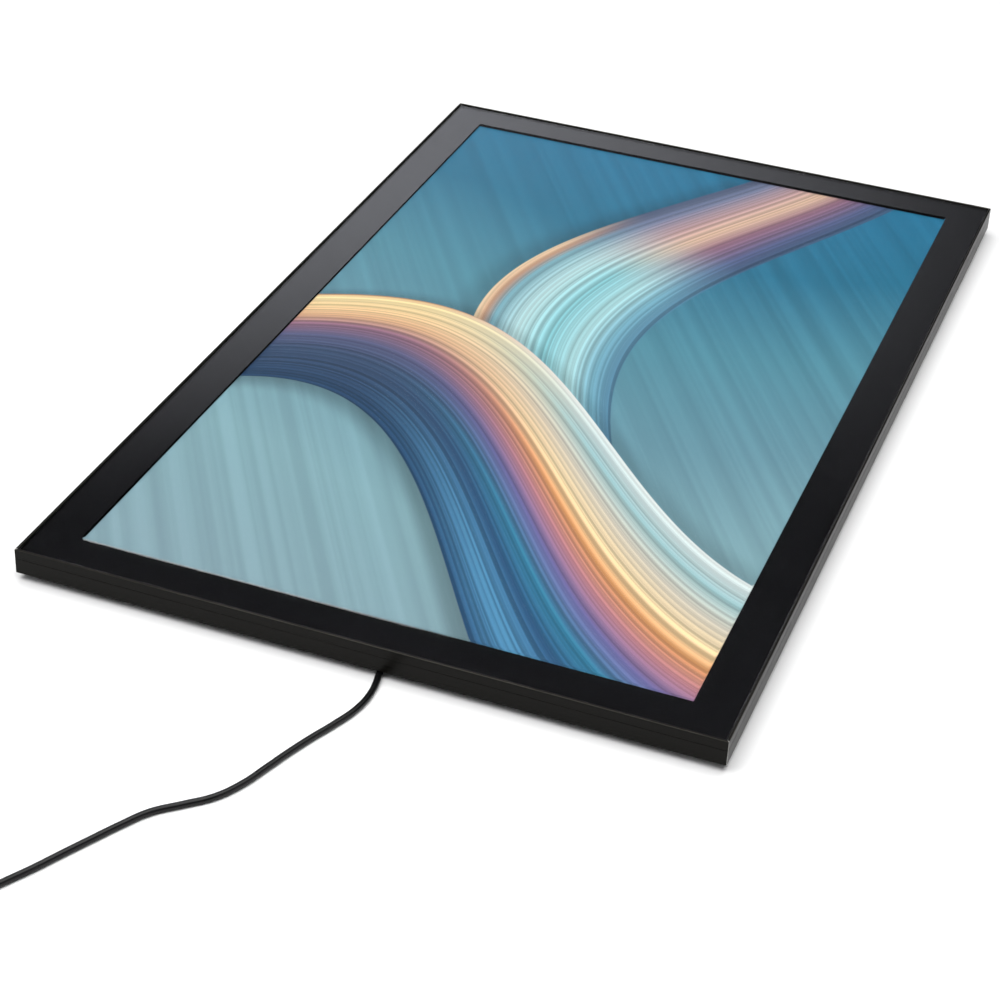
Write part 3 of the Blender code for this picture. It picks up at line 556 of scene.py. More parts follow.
def printed_picture():
    """An abstract picture of two striped waves on a soft gradient, printed on a backlit film."""
    s = Surface("printed_film", roughness=0.5)
    s.set("Specular IOR Level", 0.1)
    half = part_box("frame_profile_right")[1].x - WINDOW_INSET
    x, y = [axis / half for axis in s.axes()[:2]]

    # The soft ground
    level = (y + PICTURE_REACH) / (2 * PICTURE_REACH) + ((x * 2.2) - 0.57).wave() * 0.05
    ground = level.ramp(
        [
            (0.0, (138, 168, 178)), (0.2, (136, 174, 183)), (0.42, (108, 152, 167)),
            (0.62, (86, 144, 162)), (0.82, (44, 116, 146)), (1.0, (42, 118, 154)),
        ]
    )
    brush = (x * 0.8 + y * 0.5).noise(16.0, 3.0)
    ground = s.shade(ground, brush.smooth(0.25, 0.75, 0.90, 1.12))

    # A wave that comes down from the far side and leaves at the right
    left_edge = ((y - 0.35) * 1.45).wave() * -0.46 + 0.02
    width = ((y * 1.3) - 1.17).wave() * 0.16 + 0.52
    q = (x - left_edge) / width
    inside = q.smooth(0.0, 0.01) * q.smooth(0.99, 1.0, 1.0, 0.0)
    light_side = q.ramp(
        [
            (0.0, (236, 214, 176)), (0.06, (206, 160, 130)), (0.12, (120, 170, 185)),
            (0.3, (190, 226, 228)), (0.5, (140, 205, 214)), (0.7, (176, 220, 224)),
            (0.85, (120, 175, 195)), (1.0, (84, 130, 160)),
        ]
    )
    dark_side = q.ramp(
        [
            (0.0, (70, 84, 112)), (0.15, (120, 130, 160)), (0.35, (196, 160, 160)),
            (0.5, (228, 192, 166)), (0.65, (150, 110, 130)), (0.85, (90, 100, 140)),
            (1.0, (60, 90, 120)),
        ]
    )
    ribbon = s.mix((y + q * 0.25).smooth(0.75, 1.25), light_side, dark_side)
    lines = (q + y * 0.02).noise(34.0, 6.0)
    ribbon = s.shade(ribbon, lines.smooth(0.28, 0.72, 0.70, 1.22))
    shadow = q.smooth(-0.20, 0.0, 1.0, 0.70) + q.smooth(0.9, 1.0, 0.0, 0.30)
    picture = s.mix(inside, s.shade(ground, shadow), ribbon)

    # A broader wave in front, from the left side down to the near right corner
    top_edge = ((x + 0.42) * 2.1).wave() * 0.40 - x * 0.30 - 0.36
    depth = x.smooth(-1.0, 0.6, 0.66, 1.32)
    q = (top_edge - y) / depth
    inside = q.smooth(0.0, 0.006) * q.smooth(0.993, 1.0, 1.0, 0.0)
    start = q.ramp(
        [
            (0.0, (196, 136, 98)), (0.04, (252, 228, 172)), (0.14, (246, 214, 160)),
            (0.26, (228, 180, 140)), (0.36, (150, 110, 130)), (0.5, (90, 95, 130)),
            (0.65, (60, 80, 110)), (1.0, (36, 66, 98)),
        ]
    )
    finish = q.ramp(
        [
            (0.0, (232, 238, 236)), (0.10, (160, 200, 205)), (0.20, (214, 206, 190)),
            (0.29, (252, 224, 176)), (0.36, (228, 160, 105)), (0.44, (190, 130, 140)),
            (0.52, (116, 112, 168)), (0.62, (56, 128, 160)), (0.72, (50, 92, 132)),
            (0.84, (84, 146, 186)), (1.0, (42, 80, 118)),
        ]
    )
    ribbon = s.mix(x.smooth(-0.7, 0.35), start, finish)
    lines = (q + x * 0.015).noise(44.0, 7.0)
    ribbon = s.shade(ribbon, lines.smooth(0.28, 0.72, 0.66, 1.24))
    above = q.smooth(-0.10, 0.0, 1.0, 0.72) + q.smooth(0.9, 1.0, 0.0, 0.28)
    below = q.smooth(0.9, 1.0, 1.0, 0.55) + q.smooth(1.0, 1.16, 0.0, 0.45)
    picture = s.mix(inside, s.shade(picture, above * below), ribbon)

    grain = s.noise(2400.0, detail=1.0)
    picture = s.shade(picture, grain.smooth(0.2, 0.8, 0.97, 1.03))
    s.link(s.shade(picture, PICTURE_REFLECTS), "Base Color")
    light_glow(s, picture, PICTURE_GLOW)
    return s.material


def opal_acrylic():
    """The lit diffuser, a little brighter beside the two rows of LEDs."""
    s = Surface("opal_diffuser", roughness=0.35, ior=1.49)
    edge = s.axes()[0].size().smooth(0.05, 0.228)
    cloud = s.noise(30.0)
    colour = edge.ramp([(0.0, (244, 246, 250)), (1.0, (255, 255, 255))])
    s.link(s.shade(colour, cloud.smooth(0.2, 0.8, 0.97, 1.0)), "Base Color")
    light_glow(s, s.shade(colour, edge.smooth(0.0, 1.0, 0.86, 1.0)), DIFFUSER_GLOW)
    return s.material


def light_guide():
    s = clear_acrylic("light_guide", 0.02)
    dots = s.cells(480.0, (1, 1, 0.02))
    s.bump(dots.smooth(0.28, 0.4), 0.00004, 0.6)
    return s.material


def grained(name, roughness, scale, detail, dark, light, depth, strength):
    """A matt material with a fine grain in its colour and height."""
    s = Surface(name, roughness=roughness)
    fine = s.noise(scale, detail=detail)
    s.link(fine.ramp([(0.3, dark), (0.7, light)]), "Base Color")
    s.bump(fine, depth, strength)
    return s


def foam():
    s = Surface("black_foam", roughness=0.95)
    pores = s.cells(1400.0)
    s.link(pores.ramp([(0.0, (14, 14, 15)), (0.6, (44, 44, 46))]), "Base Color")
    s.bump(pores, 0.0003, 0.8)
    return s.material


def coated_board():
    s = Surface("coated_back_panel", roughness=0.5, ior=1.45)
    pebble = s.cells(1300.0, feature="SMOOTH_F1")
    broad = s.noise(5.0, detail=5.0)
    s.link(pebble.ramp([(0.0, (46, 46, 49)), (0.7, (58, 58, 61))]), "Base Color")
    s.link(broad.smooth(0.3, 0.7, 0.42, 0.58), "Roughness")
    s.bump(pebble, 0.00008, 0.7)
    return s.material


def led_board():
    """White solder mask, with the LEDs' yellow faces where they stand out from the board."""
    s = Surface("led_board", roughness=0.35)
    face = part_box("led_strip_right")[0].x + LED_PROUD
    led = s.axes()[0].size().smooth(face, face + 0.1 * MM, 1.0, 0.0)
    speck = s.noise(1500.0)
    board = speck.ramp([(0.3, (226, 226, 220)), (0.7, (240, 240, 236))])
    phosphor = speck.ramp([(0.3, (236, 196, 52)), (0.7, (250, 216, 92))])
    s.link(s.mix(led, board, phosphor), "Base Color")
    s.bump(speck, 0.00002, 0.3)
    return s.material


def brushed_steel(name, tint, stretch):
    s = Surface(name, metallic=1.0)
    grain = s.noise(10.0, stretch, detail=5.0, rough=0.6)
    dark = [part * 0.72 for part in tint]
    s.link(grain.ramp([(0.3, dark), (0.7, tint)]), "Base Color")
    s.link(grain.smooth(0.3, 0.7, 0.26, 0.42), "Roughness")
    s.bump(grain, 0.00001, 0.4)
    return s.material


def zinc_plate():
    """Zinc plating with its faint yellow and blue bloom."""
    s = Surface("zinc_plate", metallic=1.0)
    bloom = s.noise(60.0, detail=4.0)
    flakes = s.cells(900.0)
    colour = bloom.ramp([(0.3, (184, 192, 206)), (0.5, (204, 206, 206)), (0.7, (212, 204, 178))])
    s.link(s.shade(colour, flakes.smooth(0.0, 0.8, 1.0, 0.86)), "Base Color")
    s.link(flakes.smooth(0.0, 0.8, 0.24, 0.40), "Roughness")
    s.bump(bloom, 0.00002, 0.3)
    return s.material


def blackened_steel():
    s = Surface("blackened_screw", metallic=0.85)
    mottle = s.noise(1800.0, detail=4.0)
    s.link(mottle.ramp([(0.3, (34, 34, 37)), (0.72, (66, 65, 66))]), "Base Color")
    s.link(mottle.smooth(0.3, 0.7, 0.28, 0.5), "Roughness")
    s.bump(mottle, 0.00001, 0.4)
    return s.material


def rubber(name, tone):
    s = grained(name, 0.7, 1500.0, 4.0, (tone,) * 3, (tone + 14,) * 3, 0.00005, 0.6)
    dust = s.noise(40.0, detail=5.0)
    s.link(dust.smooth(0.35, 0.7, 0.62, 0.86), "Roughness")
    return s.material


def moulded_plastic(name, tone):
    s = Surface(name)
    spark = s.cells(2600.0)
    broad = s.noise(50.0)
    light = tone + 7
    s.link(broad.ramp([(0.3, (tone, tone, tone + 1)), (0.7, (light, light, light + 1))]), "Base Color")
    s.link(spark.smooth(0.0, 0.8, 0.38, 0.54), "Roughness")
    s.bump(spark, 0.00003, 0.5)
    return s.material


def cord_sheath():
    """Soft black PVC with a fine drawn skin."""
    s = Surface("cord_sheath", ior=1.5)
    skin = s.noise(700.0, detail=4.0)
    broad = s.noise(25.0)
    s.link(skin.ramp([(0.3, (9, 9, 10)), (0.7, (15, 15, 16))]), "Base Color")
    s.set("Specular IOR Level", 0.22)
    s.link(broad.smooth(0.3, 0.7, 0.24, 0.32), "Roughness")
    s.bump(skin, 0.00003, 0.5)
    return s.material


def hook_tape():
    s = Surface("tie_tape", roughness=0.95)
    loops = s.cells(2600.0)
    fuzz = s.noise(1400.0, detail=5.0)
    s.link(loops.ramp([(0.0, (34, 34, 36)), (0.7, (10, 10, 11))]), "Base Color")
    s.set("Sheen Weight", 0.3)
    s.bump(loops + fuzz, 0.00025, 0.9)
    return s.material


def nickel():
    s = Surface("nickel_barrel", metallic=1.0)
    turned_marks = s.noise(60.0, (1, 1, 60), detail=3.0)
    s.link(turned_marks.ramp([(0.3, (200, 196, 184)), (0.7, (226, 222, 212))]), "Base Color")
    s.link(turned_marks.smooth(0.3, 0.7, 0.14, 0.24), "Roughness")
    return s.material


# ---- Camera, floor and light ----
def make_camera():
    azimuth = math.radians(CAMERA_AZIMUTH)
    elevation = math.radians(CAMERA_ELEVATION)
    roll = math.radians(CAMERA_ROLL)
    data = bpy.data.cameras.new("camera")
    data.lens = CAMERA_LENS
    data.sensor_width = CAMERA_SENSOR
    data.clip_start = CAMERA_CLIP
    camera = add_object("camera", data)
    turn = Euler((math.pi / 2 - elevation, 0.0, azimuth)).to_matrix().to_4x4()
    turn = turn @ Matrix.Rotation(roll, 4, "Z")
    camera.matrix_world = Matrix.Translation(CAMERA_PLACE) @ turn
    bpy.context.scene.camera = camera


def make_floor():
    """A wide pale sheet that only shows from above, and fades out far from the table."""
    shape = bmesh.new()
    bmesh.ops.create_grid(shape, x_segments=1, y_segments=1, size=FLOOR_HALF_SIZE)
    floor = add_object("floor", mesh_from(shape, "floor"))
    s = Surface("pale_floor", roughness=0.9)
    s.set("Base Color", (0.86, 0.86, 0.86, 1.0))
    s.set("Specular IOR Level", 0.0)
    tree = s.tree
    x, y = s.axes()[:2]
    distance = (x * x + y * y).math("POWER", 0.5)
    back = Field(tree, tree.nodes.new("ShaderNodeNewGeometry").outputs["Backfacing"])
    hidden = back.math("MAXIMUM", distance.smooth(*FLOOR_FADE))
    clear = tree.nodes.new("ShaderNodeBsdfTransparent")
    mixer = tree.nodes.new("ShaderNodeMixShader")
    tree.links.new(hidden.socket, mixer.inputs["Fac"])
    tree.links.new(s.shader.outputs["BSDF"], mixer.inputs[1])
    tree.links.new(clear.outputs["BSDF"], mixer.inputs[2])
    tree.links.new(mixer.outputs["Shader"], tree.nodes["Material Output"].inputs["Surface"])
    floor.data.materials.append(s.material)


def make_world():
    """A dim studio with a soft white wall at the far left. The camera itself sees it all pale."""
    world = bpy.data.worlds.new("studio")
    world.use_nodes = True
    bpy.context.scene.world = world
    tree = world.node_tree
    coordinates = tree.nodes.new("ShaderNodeTexCoord")
    split = tree.nodes.new("ShaderNodeSeparateXYZ")
    tree.links.new(coordinates.outputs["Generated"], split.inputs["Vector"])
    x, y, z = [Field(tree, socket) for socket in split.outputs]
    turn = (x * -1.0).math("ARCTAN2", y)
    right_side = turn.smooth(*[math.radians(angle) for angle in WALL_START])
    left_side = turn.smooth(*[math.radians(angle) for angle in WALL_FINISH], 1.0, 0.0)
    wall = right_side * left_side * z.smooth(*WALL_TOP, 1.0, 0.0)
    path = tree.nodes.new("ShaderNodeLightPath")
    seen = Field(tree, path.outputs["Is Camera Ray"])
    strength = wall * WALL_LEVEL + SKY_LEVEL + seen * CAMERA_SKY_LEVEL
    background = tree.nodes["Background"]
    background.inputs["Color"].default_value = SKY_COLOUR
    tree.links.new(strength.socket, background.inputs["Strength"])


def make_light(name, size, place, target, power):
    data = bpy.data.lights.new(name, "AREA")
    data.shape = "RECTANGLE"
    data.size, data.size_y = size
    data.energy = power
    light = add_object(name, data, place)
    light.rotation_euler = (Vector(target) - Vector(place)).to_track_quat("-Z", "Y").to_euler()
    light.visible_camera = False


# ---- Cord ----
def coil_point(degrees, radius, z):
    a = math.radians(degrees)
    x, y = COIL_CENTRE
    return Vector((x + radius * math.cos(a), y + radius * math.sin(a), z))


def tie_lift(degrees):
    """How far the coil is raised near the tie that passes under it."""
    off = (degrees - TIE_ANGLE + 180) % 360 - 180
    return COIL_LIFT * (1 - smooth_step(abs(off), *TIE_CLEAR_DEGREES))


def coil_line():
    """The turns: inward on the table, up, outward on top of them, and down beside them."""
    outer, inner = COIL_COLUMN_RADII[0], COIL_COLUMN_RADII[-1]
    points = []
    for i in range(round(COIL_TURNS * TURN_POINTS) + 1):
        t = i / TURN_POINTS
        degrees = COIL_START - 360 * t
        inward = sum(smooth_step(t, *step) for step in INWARD_STEPS)
        outward = sum(smooth_step(t, *step) for step in OUTWARD_STEPS)
        radius = outer + (inner - outer) * (inward - outward) / len(INWARD_STEPS)
        rise = smooth_step(t, *CLIMB) * LAYER_RISE
        if t > DESCENT[0]:
            swing = math.radians(90 - DESCENT_DEGREES * smooth_step(t, *DESCENT))
            radius = outer + DESCENT_REACH * math.cos(swing)
            rise = DESCENT_RISE * math.sin(swing)
        z = max(CORD_Z, CORD_Z + rise + tie_lift(degrees))
        points.append(coil_point(degrees, radius, z))
    return points


def cord_line():
    """The cord's course from inside the boot to inside the plug's relief, and its last heading."""
    x, y = CORD_ROUTE[0]
    line = [Vector((x, y + CORD_INSIDE_BOOT, BOOT_TIP_Z + INSIDE_BOOT_RISE))]
    heights = [BOOT_TIP_Z, (BOOT_TIP_Z + CORD_Z) / 2] + [CORD_Z] * (len(CORD_ROUTE) - 2)
    for (x, y), z in zip(CORD_ROUTE, heights):
        line.append(Vector((x, y, z)))
    line += coil_line()
    degrees = COIL_START - 360 * COIL_TURNS
    a = math.radians(degrees)
    heading = Vector((math.sin(a), -math.cos(a), 0.0))
    leave = coil_point(degrees, TAIL_RADIUS, CORD_Z)
    line[-1] = leave
    plug_z = PLUG_RADIUS + 0.0001
    for share, rise in TAIL_RISE:
        point = leave + heading * (TAIL_LENGTH * share)
        point.z = CORD_Z + (plug_z - CORD_Z) * rise
        line.append(point)
    return line, heading


def make_cord(sheath):
    line, heading = cord_line()
    curve = bpy.data.curves.new("power_lead", "CURVE")
    curve.dimensions = "3D"
    curve.bevel_depth = CORD_RADIUS
    curve.bevel_resolution = 6
    curve.resolution_u = 6
    curve.use_fill_caps = True
    spline = curve.splines.new("BEZIER")
    spline.bezier_points.add(len(line) - 1)
    for point, place in zip(spline.bezier_points, line):
        point.co = place
        point.handle_left_type = "AUTO"
        point.handle_right_type = "AUTO"
    lead = add_object("power_lead", curve)
    finish_piece(lead, sheath, "base", "cord_sheath", "power_cord", "cord_coil", "cord_tail")
    return lead, heading


# ---- Frame ----
def profile_mesh(name, length, easing):
    """The extrusion along X, with its inside towards +Y and mitred ends whose edges are eased."""
    shapes = (PROFILE_OUTLINE, PROFILE_CHAMBER)
    outlines = [[point * MM for point in rounded_outline(corners)] for corners in shapes]
    mesh = extruded_mesh(name, outlines, length / 2)
    mesh.transform(Matrix(((0, 0, 1, 0), (1, 0, 0, 0), (0, 1, 0, 0), (0, 0, 0, 1))))
    half_length = length / 2 - MITRE_SETBACK
    for vertex in mesh.vertices:
        vertex.co.x = math.copysign(half_length - vertex.co.y, vertex.co.x)
    shape = bmesh.new()
    shape.from_mesh(mesh)
    shape.normal_update()
    rim = []
    for edge in shape.edges:
        ends = [abs(face.normal.x) > 0.5 for face in edge.link_faces]
        if len(ends) == 2 and ends[0] != ends[1]:
            rim.append(edge)
    bmesh.ops.bevel(shape, geom=rim, offset=easing, segments=2, profile=0.5, affect="EDGES")
    shape.to_mesh(mesh)
    shape.free()
    return mesh


def make_frame(material, cut_metal):
    """The four mitred sides, with their screw holes, the LED leads' way in, and bare metal cuts."""
    near_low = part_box("frame_profile_near")[0]
    half_width, half_length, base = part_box("frame_profile_right")[1].x, -near_low.y, near_low.z
    sides = {
        "near": (2 * half_width, (0.0, -half_length)),
        "right": (2 * half_length, (half_width, 0.0)),
        "far": (2 * half_width, (0.0, half_length)),
        "left": (2 * half_length, (-half_width, 0.0)),
    }
    bottom, top = base + FLANGE_HEIGHTS[0] - MM, base + FLANGE_HEIGHTS[1] + MM
    screws = [middle(name) for name in sorted(NODES) if name.startswith("back_screw")]
    for turns, side in enumerate(SIDES):
        long, (x, y) = sides[side]
        name = f"profile_{side}"
        mesh = profile_mesh(name, long, MITRE_EASING[side])
        item = add_object(name, mesh, (x, y, base), (0, 0, turns * math.pi / 2))
        box_low, box_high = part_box(f"frame_profile_{side}")
        holes = []
        for place in screws:
            if box_low.x < place.x < box_high.x and box_low.y < place.y < box_high.y:
                holes.append(round_cutter(place.x, place.y, SCREW_HOLE_RADIUS, bottom, top))
        if side == "near":
            outlet = middle("cord_outlet")
            start = (outlet.x - WIRE_NOTCH / 2, box_low.y + WIRE_NOTCH_INSET[0], bottom)
            finish = (outlet.x + WIRE_NOTCH / 2, box_low.y + WIRE_NOTCH_INSET[1], top)
            holes.append(box_cutter(start, finish))
        bpy.context.view_layer.update()
        item = cut_away(item, holes)
        shade_rounds(item.data)
        finish_piece(item, material, "base", "frame_aluminium", f"frame_profile_{side}")
        item.data.materials.append(cut_metal)
        for face in item.data.polygons:
            from_cut = long / 2 - abs(face.center.x) - face.center.y
            face.material_index = 1 if abs(from_cut) < CUT_BAND else 0


def coat_window(item, material):
    """Cuts the cover's two large faces along the printed border, and coats the inside."""
    frame_low, frame_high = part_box("frame_profile_near")[0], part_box("frame_profile_far")[1]
    half = [(frame_high[axis] - frame_low[axis]) / 2 - WINDOW_INSET for axis in (0, 1)]
    shape = bmesh.new()
    shape.from_mesh(item.data)
    for axis in (0, 1):
        for side in (-1, 1):
            place, normal = Vector(), Vector()
            place[axis] = side * half[axis]
            normal[axis] = 1.0
            parts = shape.verts[:] + shape.edges[:] + shape.faces[:]
            bmesh.ops.bisect_plane(shape, geom=parts, plane_co=place, plane_no=normal)
    for face in shape.faces:
        centre = face.calc_center_median()
        inside = abs(centre.x) < half[0] and abs(centre.y) < half[1]
        face.material_index = 1 if inside else 0
    shape.to_mesh(item.data)
    shape.free()
    item.data.materials.append(material)


def make_eased_pieces(materials):
    """Plates and blocks whose CAD solids only lack eased edges."""
    pieces = [
        ("cover_glazing", "cover_panel", 0.45 * MM, 3, "cover", "cover_acrylic"),
        ("outlet_block", "cord_outlet", 0.35 * MM, 3, "base", "outlet_plastic"),
        ("hanger_plate_left", "keyhole_hanger_left", 0.18 * MM, 2, "base", "hanger_steel"),
        ("hanger_plate_right", "keyhole_hanger_right", 0.18 * MM, 2, "base", "hanger_steel"),
        ("back_board", "back_panel", 0.15 * MM, 1, "base", "back_panel"),
    ]
    for name, node, radius, segments, body, slot in pieces:
        item = finish_piece(eased(name, node, radius, segments), materials[slot], body, slot, node)
        if node == "cover_panel":
            coat_window(item, materials["window"])


# ---- Screws and feet ----
def screw_mesh(name, node, shank_radius, head_radius, head_height):
    """A pan-head screw that points up from its head's seat at height 0, with a cross recess."""
    low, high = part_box(node)
    length = high.z - low.z - head_height
    pitch = 0.55 * MM
    tip_radius, root_radius, neck_radius = [shank_radius * part for part in (0.55, 0.78, 0.8)]
    profile = [(0.0, length), (tip_radius, length)]
    for i in range(int((length - 0.6 * MM) / pitch)):
        crest = length - shank_radius * 0.45 - pitch * (i + 0.5)
        profile.append((root_radius, crest + pitch / 2))
        profile.append((shank_radius, crest))
    profile += [(neck_radius, 0.25 * MM), (shank_radius, 0.0), (head_radius * 0.97, 0.0)]
    round_edge = head_height * 0.42
    profile += arc(head_radius - round_edge, -round_edge, round_edge, 20, -62, 6)
    profile += [(head_radius * 0.45, -head_height * 0.97), (0.0, -head_height)]
    item = add_object(name, turned_mesh(name, profile, 40))
    recess_size = (head_radius * 1.15, head_radius * 0.23, head_height * 1.3)
    cutters = []
    for turn in (0, math.pi / 2):
        shape = bmesh.new()
        bmesh.ops.create_cube(shape, size=1.0)
        bmesh.ops.scale(shape, vec=recess_size, verts=shape.verts)
        for vertex in shape.verts:
            if vertex.co.z > 0:
                vertex.co.x *= 0.35
                vertex.co.y *= 0.6
        mesh = mesh_from(shape, "cutter")
        cutters.append(add_object("cutter", mesh, (0, 0, -head_height), (0, 0, turn)))
    bpy.context.view_layer.update()
    item = cut_away(item, cutters)
    mesh = item.data
    soften(mesh, 32)
    bpy.data.objects.remove(item, do_unlink=True)
    return mesh


def make_screws(kind, piece, sizes, material, slot):
    """One recess-headed screw for each CAD screw, each turned to its own angle."""
    names = sorted(name for name in NODES if name.startswith(kind))
    mesh = screw_mesh(piece, names[0], *sizes)
    head_height = sizes[-1]
    for i, node in enumerate(names, 1):
        place = middle(node)
        place.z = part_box(node)[0].z + head_height
        angle = math.radians(i * 67 % 180)
        item = add_object(f"{piece}_{i:02d}", mesh.copy(), place, (0, 0, angle))
        finish_piece(item, material, "base", slot, node)


def make_feet(material):
    low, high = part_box("rubber_foot_near_left")
    radius, height = (high.x - low.x) / 2, high.z
    easing, band, taper, floor_edge, dimple = 0.2 * MM, 1.2 * MM, 0.7 * MM, 0.9 * MM, 3.2 * MM
    profile = [(0.0, height), (radius - easing, height), (radius, height - easing)]
    profile += [(radius, height - band), (radius - taper, floor_edge)]
    profile += arc(radius - taper - floor_edge, floor_edge, floor_edge, -5, -90, 6)
    profile += [(dimple, 0.0), (dimple - 0.5 * MM, 0.5 * MM), (0.0, 0.6 * MM)]
    mesh = turned_mesh("foot", profile, 56)
    for corner in CORNERS:
        place = middle(f"rubber_foot_{corner}")
        item = add_object(f"foot_{corner}", mesh.copy(), (place.x, place.y, 0.0))
        finish_piece(item, material, "base", "foot_rubber", f"rubber_foot_{corner}")


# ---- What is on the cord ----
def ribbed_profile(length, start_radius, end_radius, bore, ribs, depth):
    """A tapered strain relief: solid at its start, ribbed, and open round the cord at its end."""
    profile = [(0.0, 0.0), (start_radius - 0.15 * MM, 0.0), (start_radius, 0.15 * MM)]
    first, last = 0.16 * length, 0.94 * length
    pitch = (last - first) / ribs
    for i in range(ribs):
        for part, inset in ((0.0, 0.0), (0.12, depth), (0.42, depth), (0.54, 0.0)):
            height = first + pitch * (i + part)
            radius = start_radius + (end_radius - start_radius) * height / length
            profile.append((radius - inset, height))
    profile += [(end_radius, length - 0.2 * MM), (end_radius - 0.2 * MM, length), (bore, length)]
    profile += [(bore, length - 2 * MM), (0.0, length - 2 * MM)]
    return profile


def along(start, finish):
    """The rotation that turns Z to point from start to finish."""
    return (Vector(finish) - Vector(start)).to_track_quat("Z", "Y").to_euler()


def make_boot(material):
    low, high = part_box("outlet_boot")
    x = (low.x + high.x) / 2
    start = Vector((x, high.y, high.z - BOOT_RADII[0]))
    tip = Vector((x, low.y, BOOT_TIP_Z))
    profile = ribbed_profile((tip - start).length, *BOOT_RADII, CORD_RADIUS, 7, 0.55 * MM)
    item = add_object("cord_boot", turned_mesh("cord_boot", profile, 40), start, along(start, tip))
    return finish_piece(item, material, "base", "boot_rubber", "outlet_boot")


def make_plug(rubber_material, plastic, metal, heading):
    """A moulded barrel plug: a ribbed relief, a fluted grip, and a nickel sleeve with a black tip."""
    turn = heading.to_track_quat("Z", "Y").to_euler()
    degrees = COIL_START - 360 * COIL_TURNS
    start = coil_point(degrees, TAIL_RADIUS, PLUG_RADIUS + 0.1 * MM)
    start = start + heading * (TAIL_LENGTH + PIECE_GAP)
    radii = (PLUG_RADIUS * 0.75, CORD_RADIUS * 1.25)
    profile = ribbed_profile(RELIEF_LENGTH, *radii, CORD_RADIUS, 5, 0.5 * MM)
    mesh = turned_mesh("plug_relief", profile, 40)
    mesh.transform(Matrix.Translation((0, 0, RELIEF_LENGTH)) @ Matrix.Rotation(math.pi, 4, "X"))
    relief = add_object("plug_relief", mesh, start, turn)
    finish_piece(relief, rubber_material, "base", "boot_rubber", "plug_strain_relief")

    start = start + heading * (RELIEF_LENGTH + PIECE_GAP)
    length, radius = PLUG_BODY_LENGTH, PLUG_RADIUS
    shoulder, flutes, flute_depth = 0.9 * MM, 16, 0.07
    profile = [(0.0, 0.0), (radius * 0.80, 0.0), (radius * 0.90, 0.5 * MM), (radius, 3.5 * MM)]
    profile += [(radius, 4 * MM + 1 * MM * i) for i in range(16)]
    profile += arc(radius - shoulder, length - shoulder, shoulder, 0, 90, 6)
    profile += [(0.0, length)]
    mesh = turned_mesh("plug_grip", profile, 96)
    for vertex in mesh.vertices:
        height = vertex.co.z
        inside = smooth_step(height, 5 * MM, 7 * MM) * (1 - smooth_step(height, 17 * MM, 19 * MM))
        round_angle = math.atan2(vertex.co.y, vertex.co.x)
        shrink = 1 - flute_depth * inside * (0.5 - 0.5 * math.cos(flutes * round_angle))
        vertex.co.x *= shrink
        vertex.co.y *= shrink
    grip = add_object("plug_grip", mesh, start, turn)
    finish_piece(grip, plastic, "base", "plug_plastic", "plug_body")

    start = start + heading * (length + PIECE_GAP)
    outer, bore, depth, edge = BARREL_RADIUS, BARREL_BORE, BARREL_LENGTH, 0.1 * MM
    ring_start, liner_start = depth - 1.2 * MM, 1.2 * MM
    sleeve_bore, liner, ring_radius = bore + 0.4 * MM, bore + 0.36 * MM, outer - edge
    sleeve = [(0.0, 0.0), (outer, 0.0), (outer, ring_start - edge), (ring_radius, ring_start)]
    sleeve += [(sleeve_bore, ring_start), (sleeve_bore, 1 * MM), (0.0, 1 * MM)]
    barrel = add_object("barrel_sleeve", turned_mesh("barrel_sleeve", sleeve, 48), start, turn)
    finish_piece(barrel, metal, "base", "plug_metal", "plug_barrel")
    ring_start += edge / 2
    collar = [(bore, liner_start), (liner, liner_start), (liner, ring_start)]
    collar += [(ring_radius, ring_start), (ring_radius, depth - 2 * edge), (outer - 3 * edge, depth)]
    collar += [(bore + 2 * edge, depth), (bore, depth - 2 * edge), (bore, liner_start)]
    tip = add_object("barrel_tip", turned_mesh("barrel_tip", collar, 48), start, turn)
    finish_piece(tip, plastic, "base", "plug_plastic")
    return [relief, grip, barrel, tip]


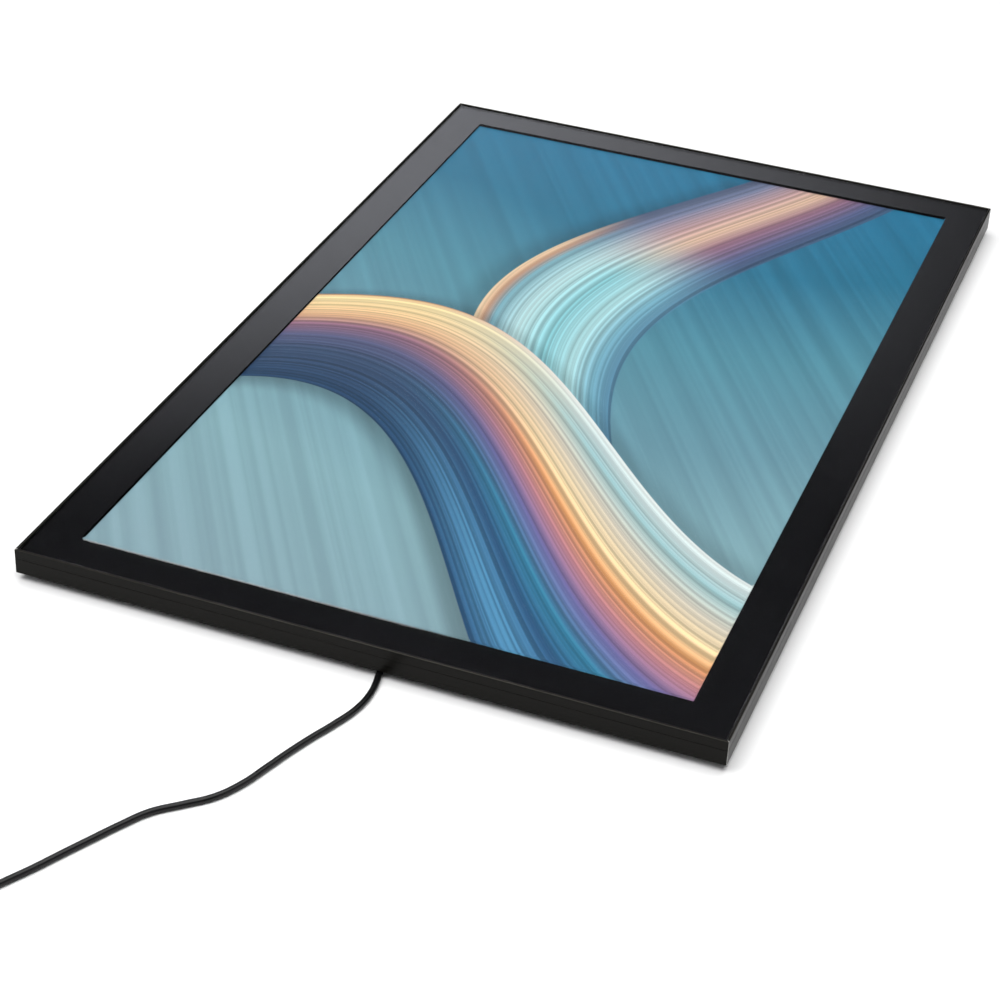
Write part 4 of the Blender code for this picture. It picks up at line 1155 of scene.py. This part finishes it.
def make_tie(material):
    """A strap of hook-and-loop tape round the coil's turns, with its end lapped over on top."""
    inner, outer = COIL_COLUMN_RADII[-1] - 4.1 * MM, COIL_COLUMN_RADII[0] + 2.6 * MM
    low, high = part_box("cord_tie")
    thickness, angle = TIE_THICKNESS, math.radians(TIE_ANGLE)
    loop = []
    for grown, bend in ((thickness, 1.6 * MM), (0.0, 0.8 * MM)):
        left, right = inner - grown, outer + grown
        bottom, top = low.z + thickness - grown, high.z - thickness + grown
        corners = [(left, bottom), (right, bottom), (right, top), (left, top)]
        loop.append(rounded_outline([(*corner, bend) for corner in corners], 6))
    mesh = extruded_mesh("tie_strap", loop, TIE_WIDTH / 2)
    strap = add_object("tie_strap", mesh, (*COIL_CENTRE, 0.0), (math.pi / 2, 0.0, angle))
    soften(strap.data, 40)
    strap = bevelled(strap, 0.12 * MM, 2)
    finish_piece(strap, material, "base", "tie_fabric", "cord_tie")

    half, reach, tip = TIE_WIDTH / 2 - 0.3 * MM, (inner + 2 * MM, outer - 5 * MM), 4 * MM
    flap = [(reach[1], -half), (reach[1], half)]
    for i in range(9):
        a = math.pi / 2 + math.pi * i / 8
        flap.append((reach[0] + tip + tip * math.cos(a), half * math.sin(a)))
    mesh = extruded_mesh("tie_lap", [flap], thickness / 2)
    place = (*COIL_CENTRE, high.z + 0.1 * MM + thickness / 2)
    lap = bevelled(add_object("tie_lap", mesh, place, (0.0, 0.0, angle)), 0.2 * MM, 2)
    soften(lap.data, 40)
    finish_piece(lap, material, "base", "tie_fabric")
    return [strap, lap]


def carry_over(materials):
    """Gives each CAD node that stays the material of its kind, by the start of its name."""
    for name, node in NODES.items():
        for start, material in materials.items():
            if name.startswith(start):
                node.data.materials.clear()
                node.data.materials.append(material)
                soften(node.data)


make_camera()
LEAD, HEADING = make_cord(cord_sheath())
make_floor()
make_world()
for light_facts in LIGHTS:
    make_light(*light_facts)

ZINC = zinc_plate()
SOFT_RUBBER = rubber("boot_rubber", 18)
PLASTIC = moulded_plastic("plug_plastic", 22)
make_frame(anodised(), bare_aluminium())
make_eased_pieces(
    {
        "cover_acrylic": clear_acrylic("cover_acrylic").material,
        "window": clear_acrylic("cover_window", 0.03, 1.12).material,
        "outlet_plastic": moulded_plastic("outlet_plastic", 26),
        "hanger_steel": ZINC,
        "back_panel": coated_board(),
    }
)
make_screws("back_screw", "pan_screw", BACK_SCREW_SIZES, blackened_steel(), "screw_black")
make_screws("hanger_screw", "hanger_fixing", HANGER_SCREW_SIZES, ZINC, "screw_zinc")
make_feet(rubber("foot_rubber", 24))
BOOT = make_boot(SOFT_RUBBER)
PLUG = make_plug(SOFT_RUBBER, PLASTIC, nickel(), HEADING)
TIE = make_tie(hook_tape())
carry_over(
    {
        "corner_key": ZINC,
        "backing_foam": foam(),
        "reflector_sheet": grained("reflector_sheet", *REFLECTOR_GRAIN).material,
        "light_guide_panel": light_guide(),
        "diffuser_panel": opal_acrylic(),
        "printed_film": printed_picture(),
        "led_strip": led_board(),
        "magnet_strip": grained("magnet_rubber", *MAGNET_GRAIN).material,
        "border_print": black_ink(),
        "steel_strip": brushed_steel("strip_steel", (176, 176, 178), (40, 40, 400)),
        "led_lead": grained("lead_insulation", *LEAD_GRAIN).material,
    }
)

bpy.context.scene.view_settings.view_transform = "Standard"
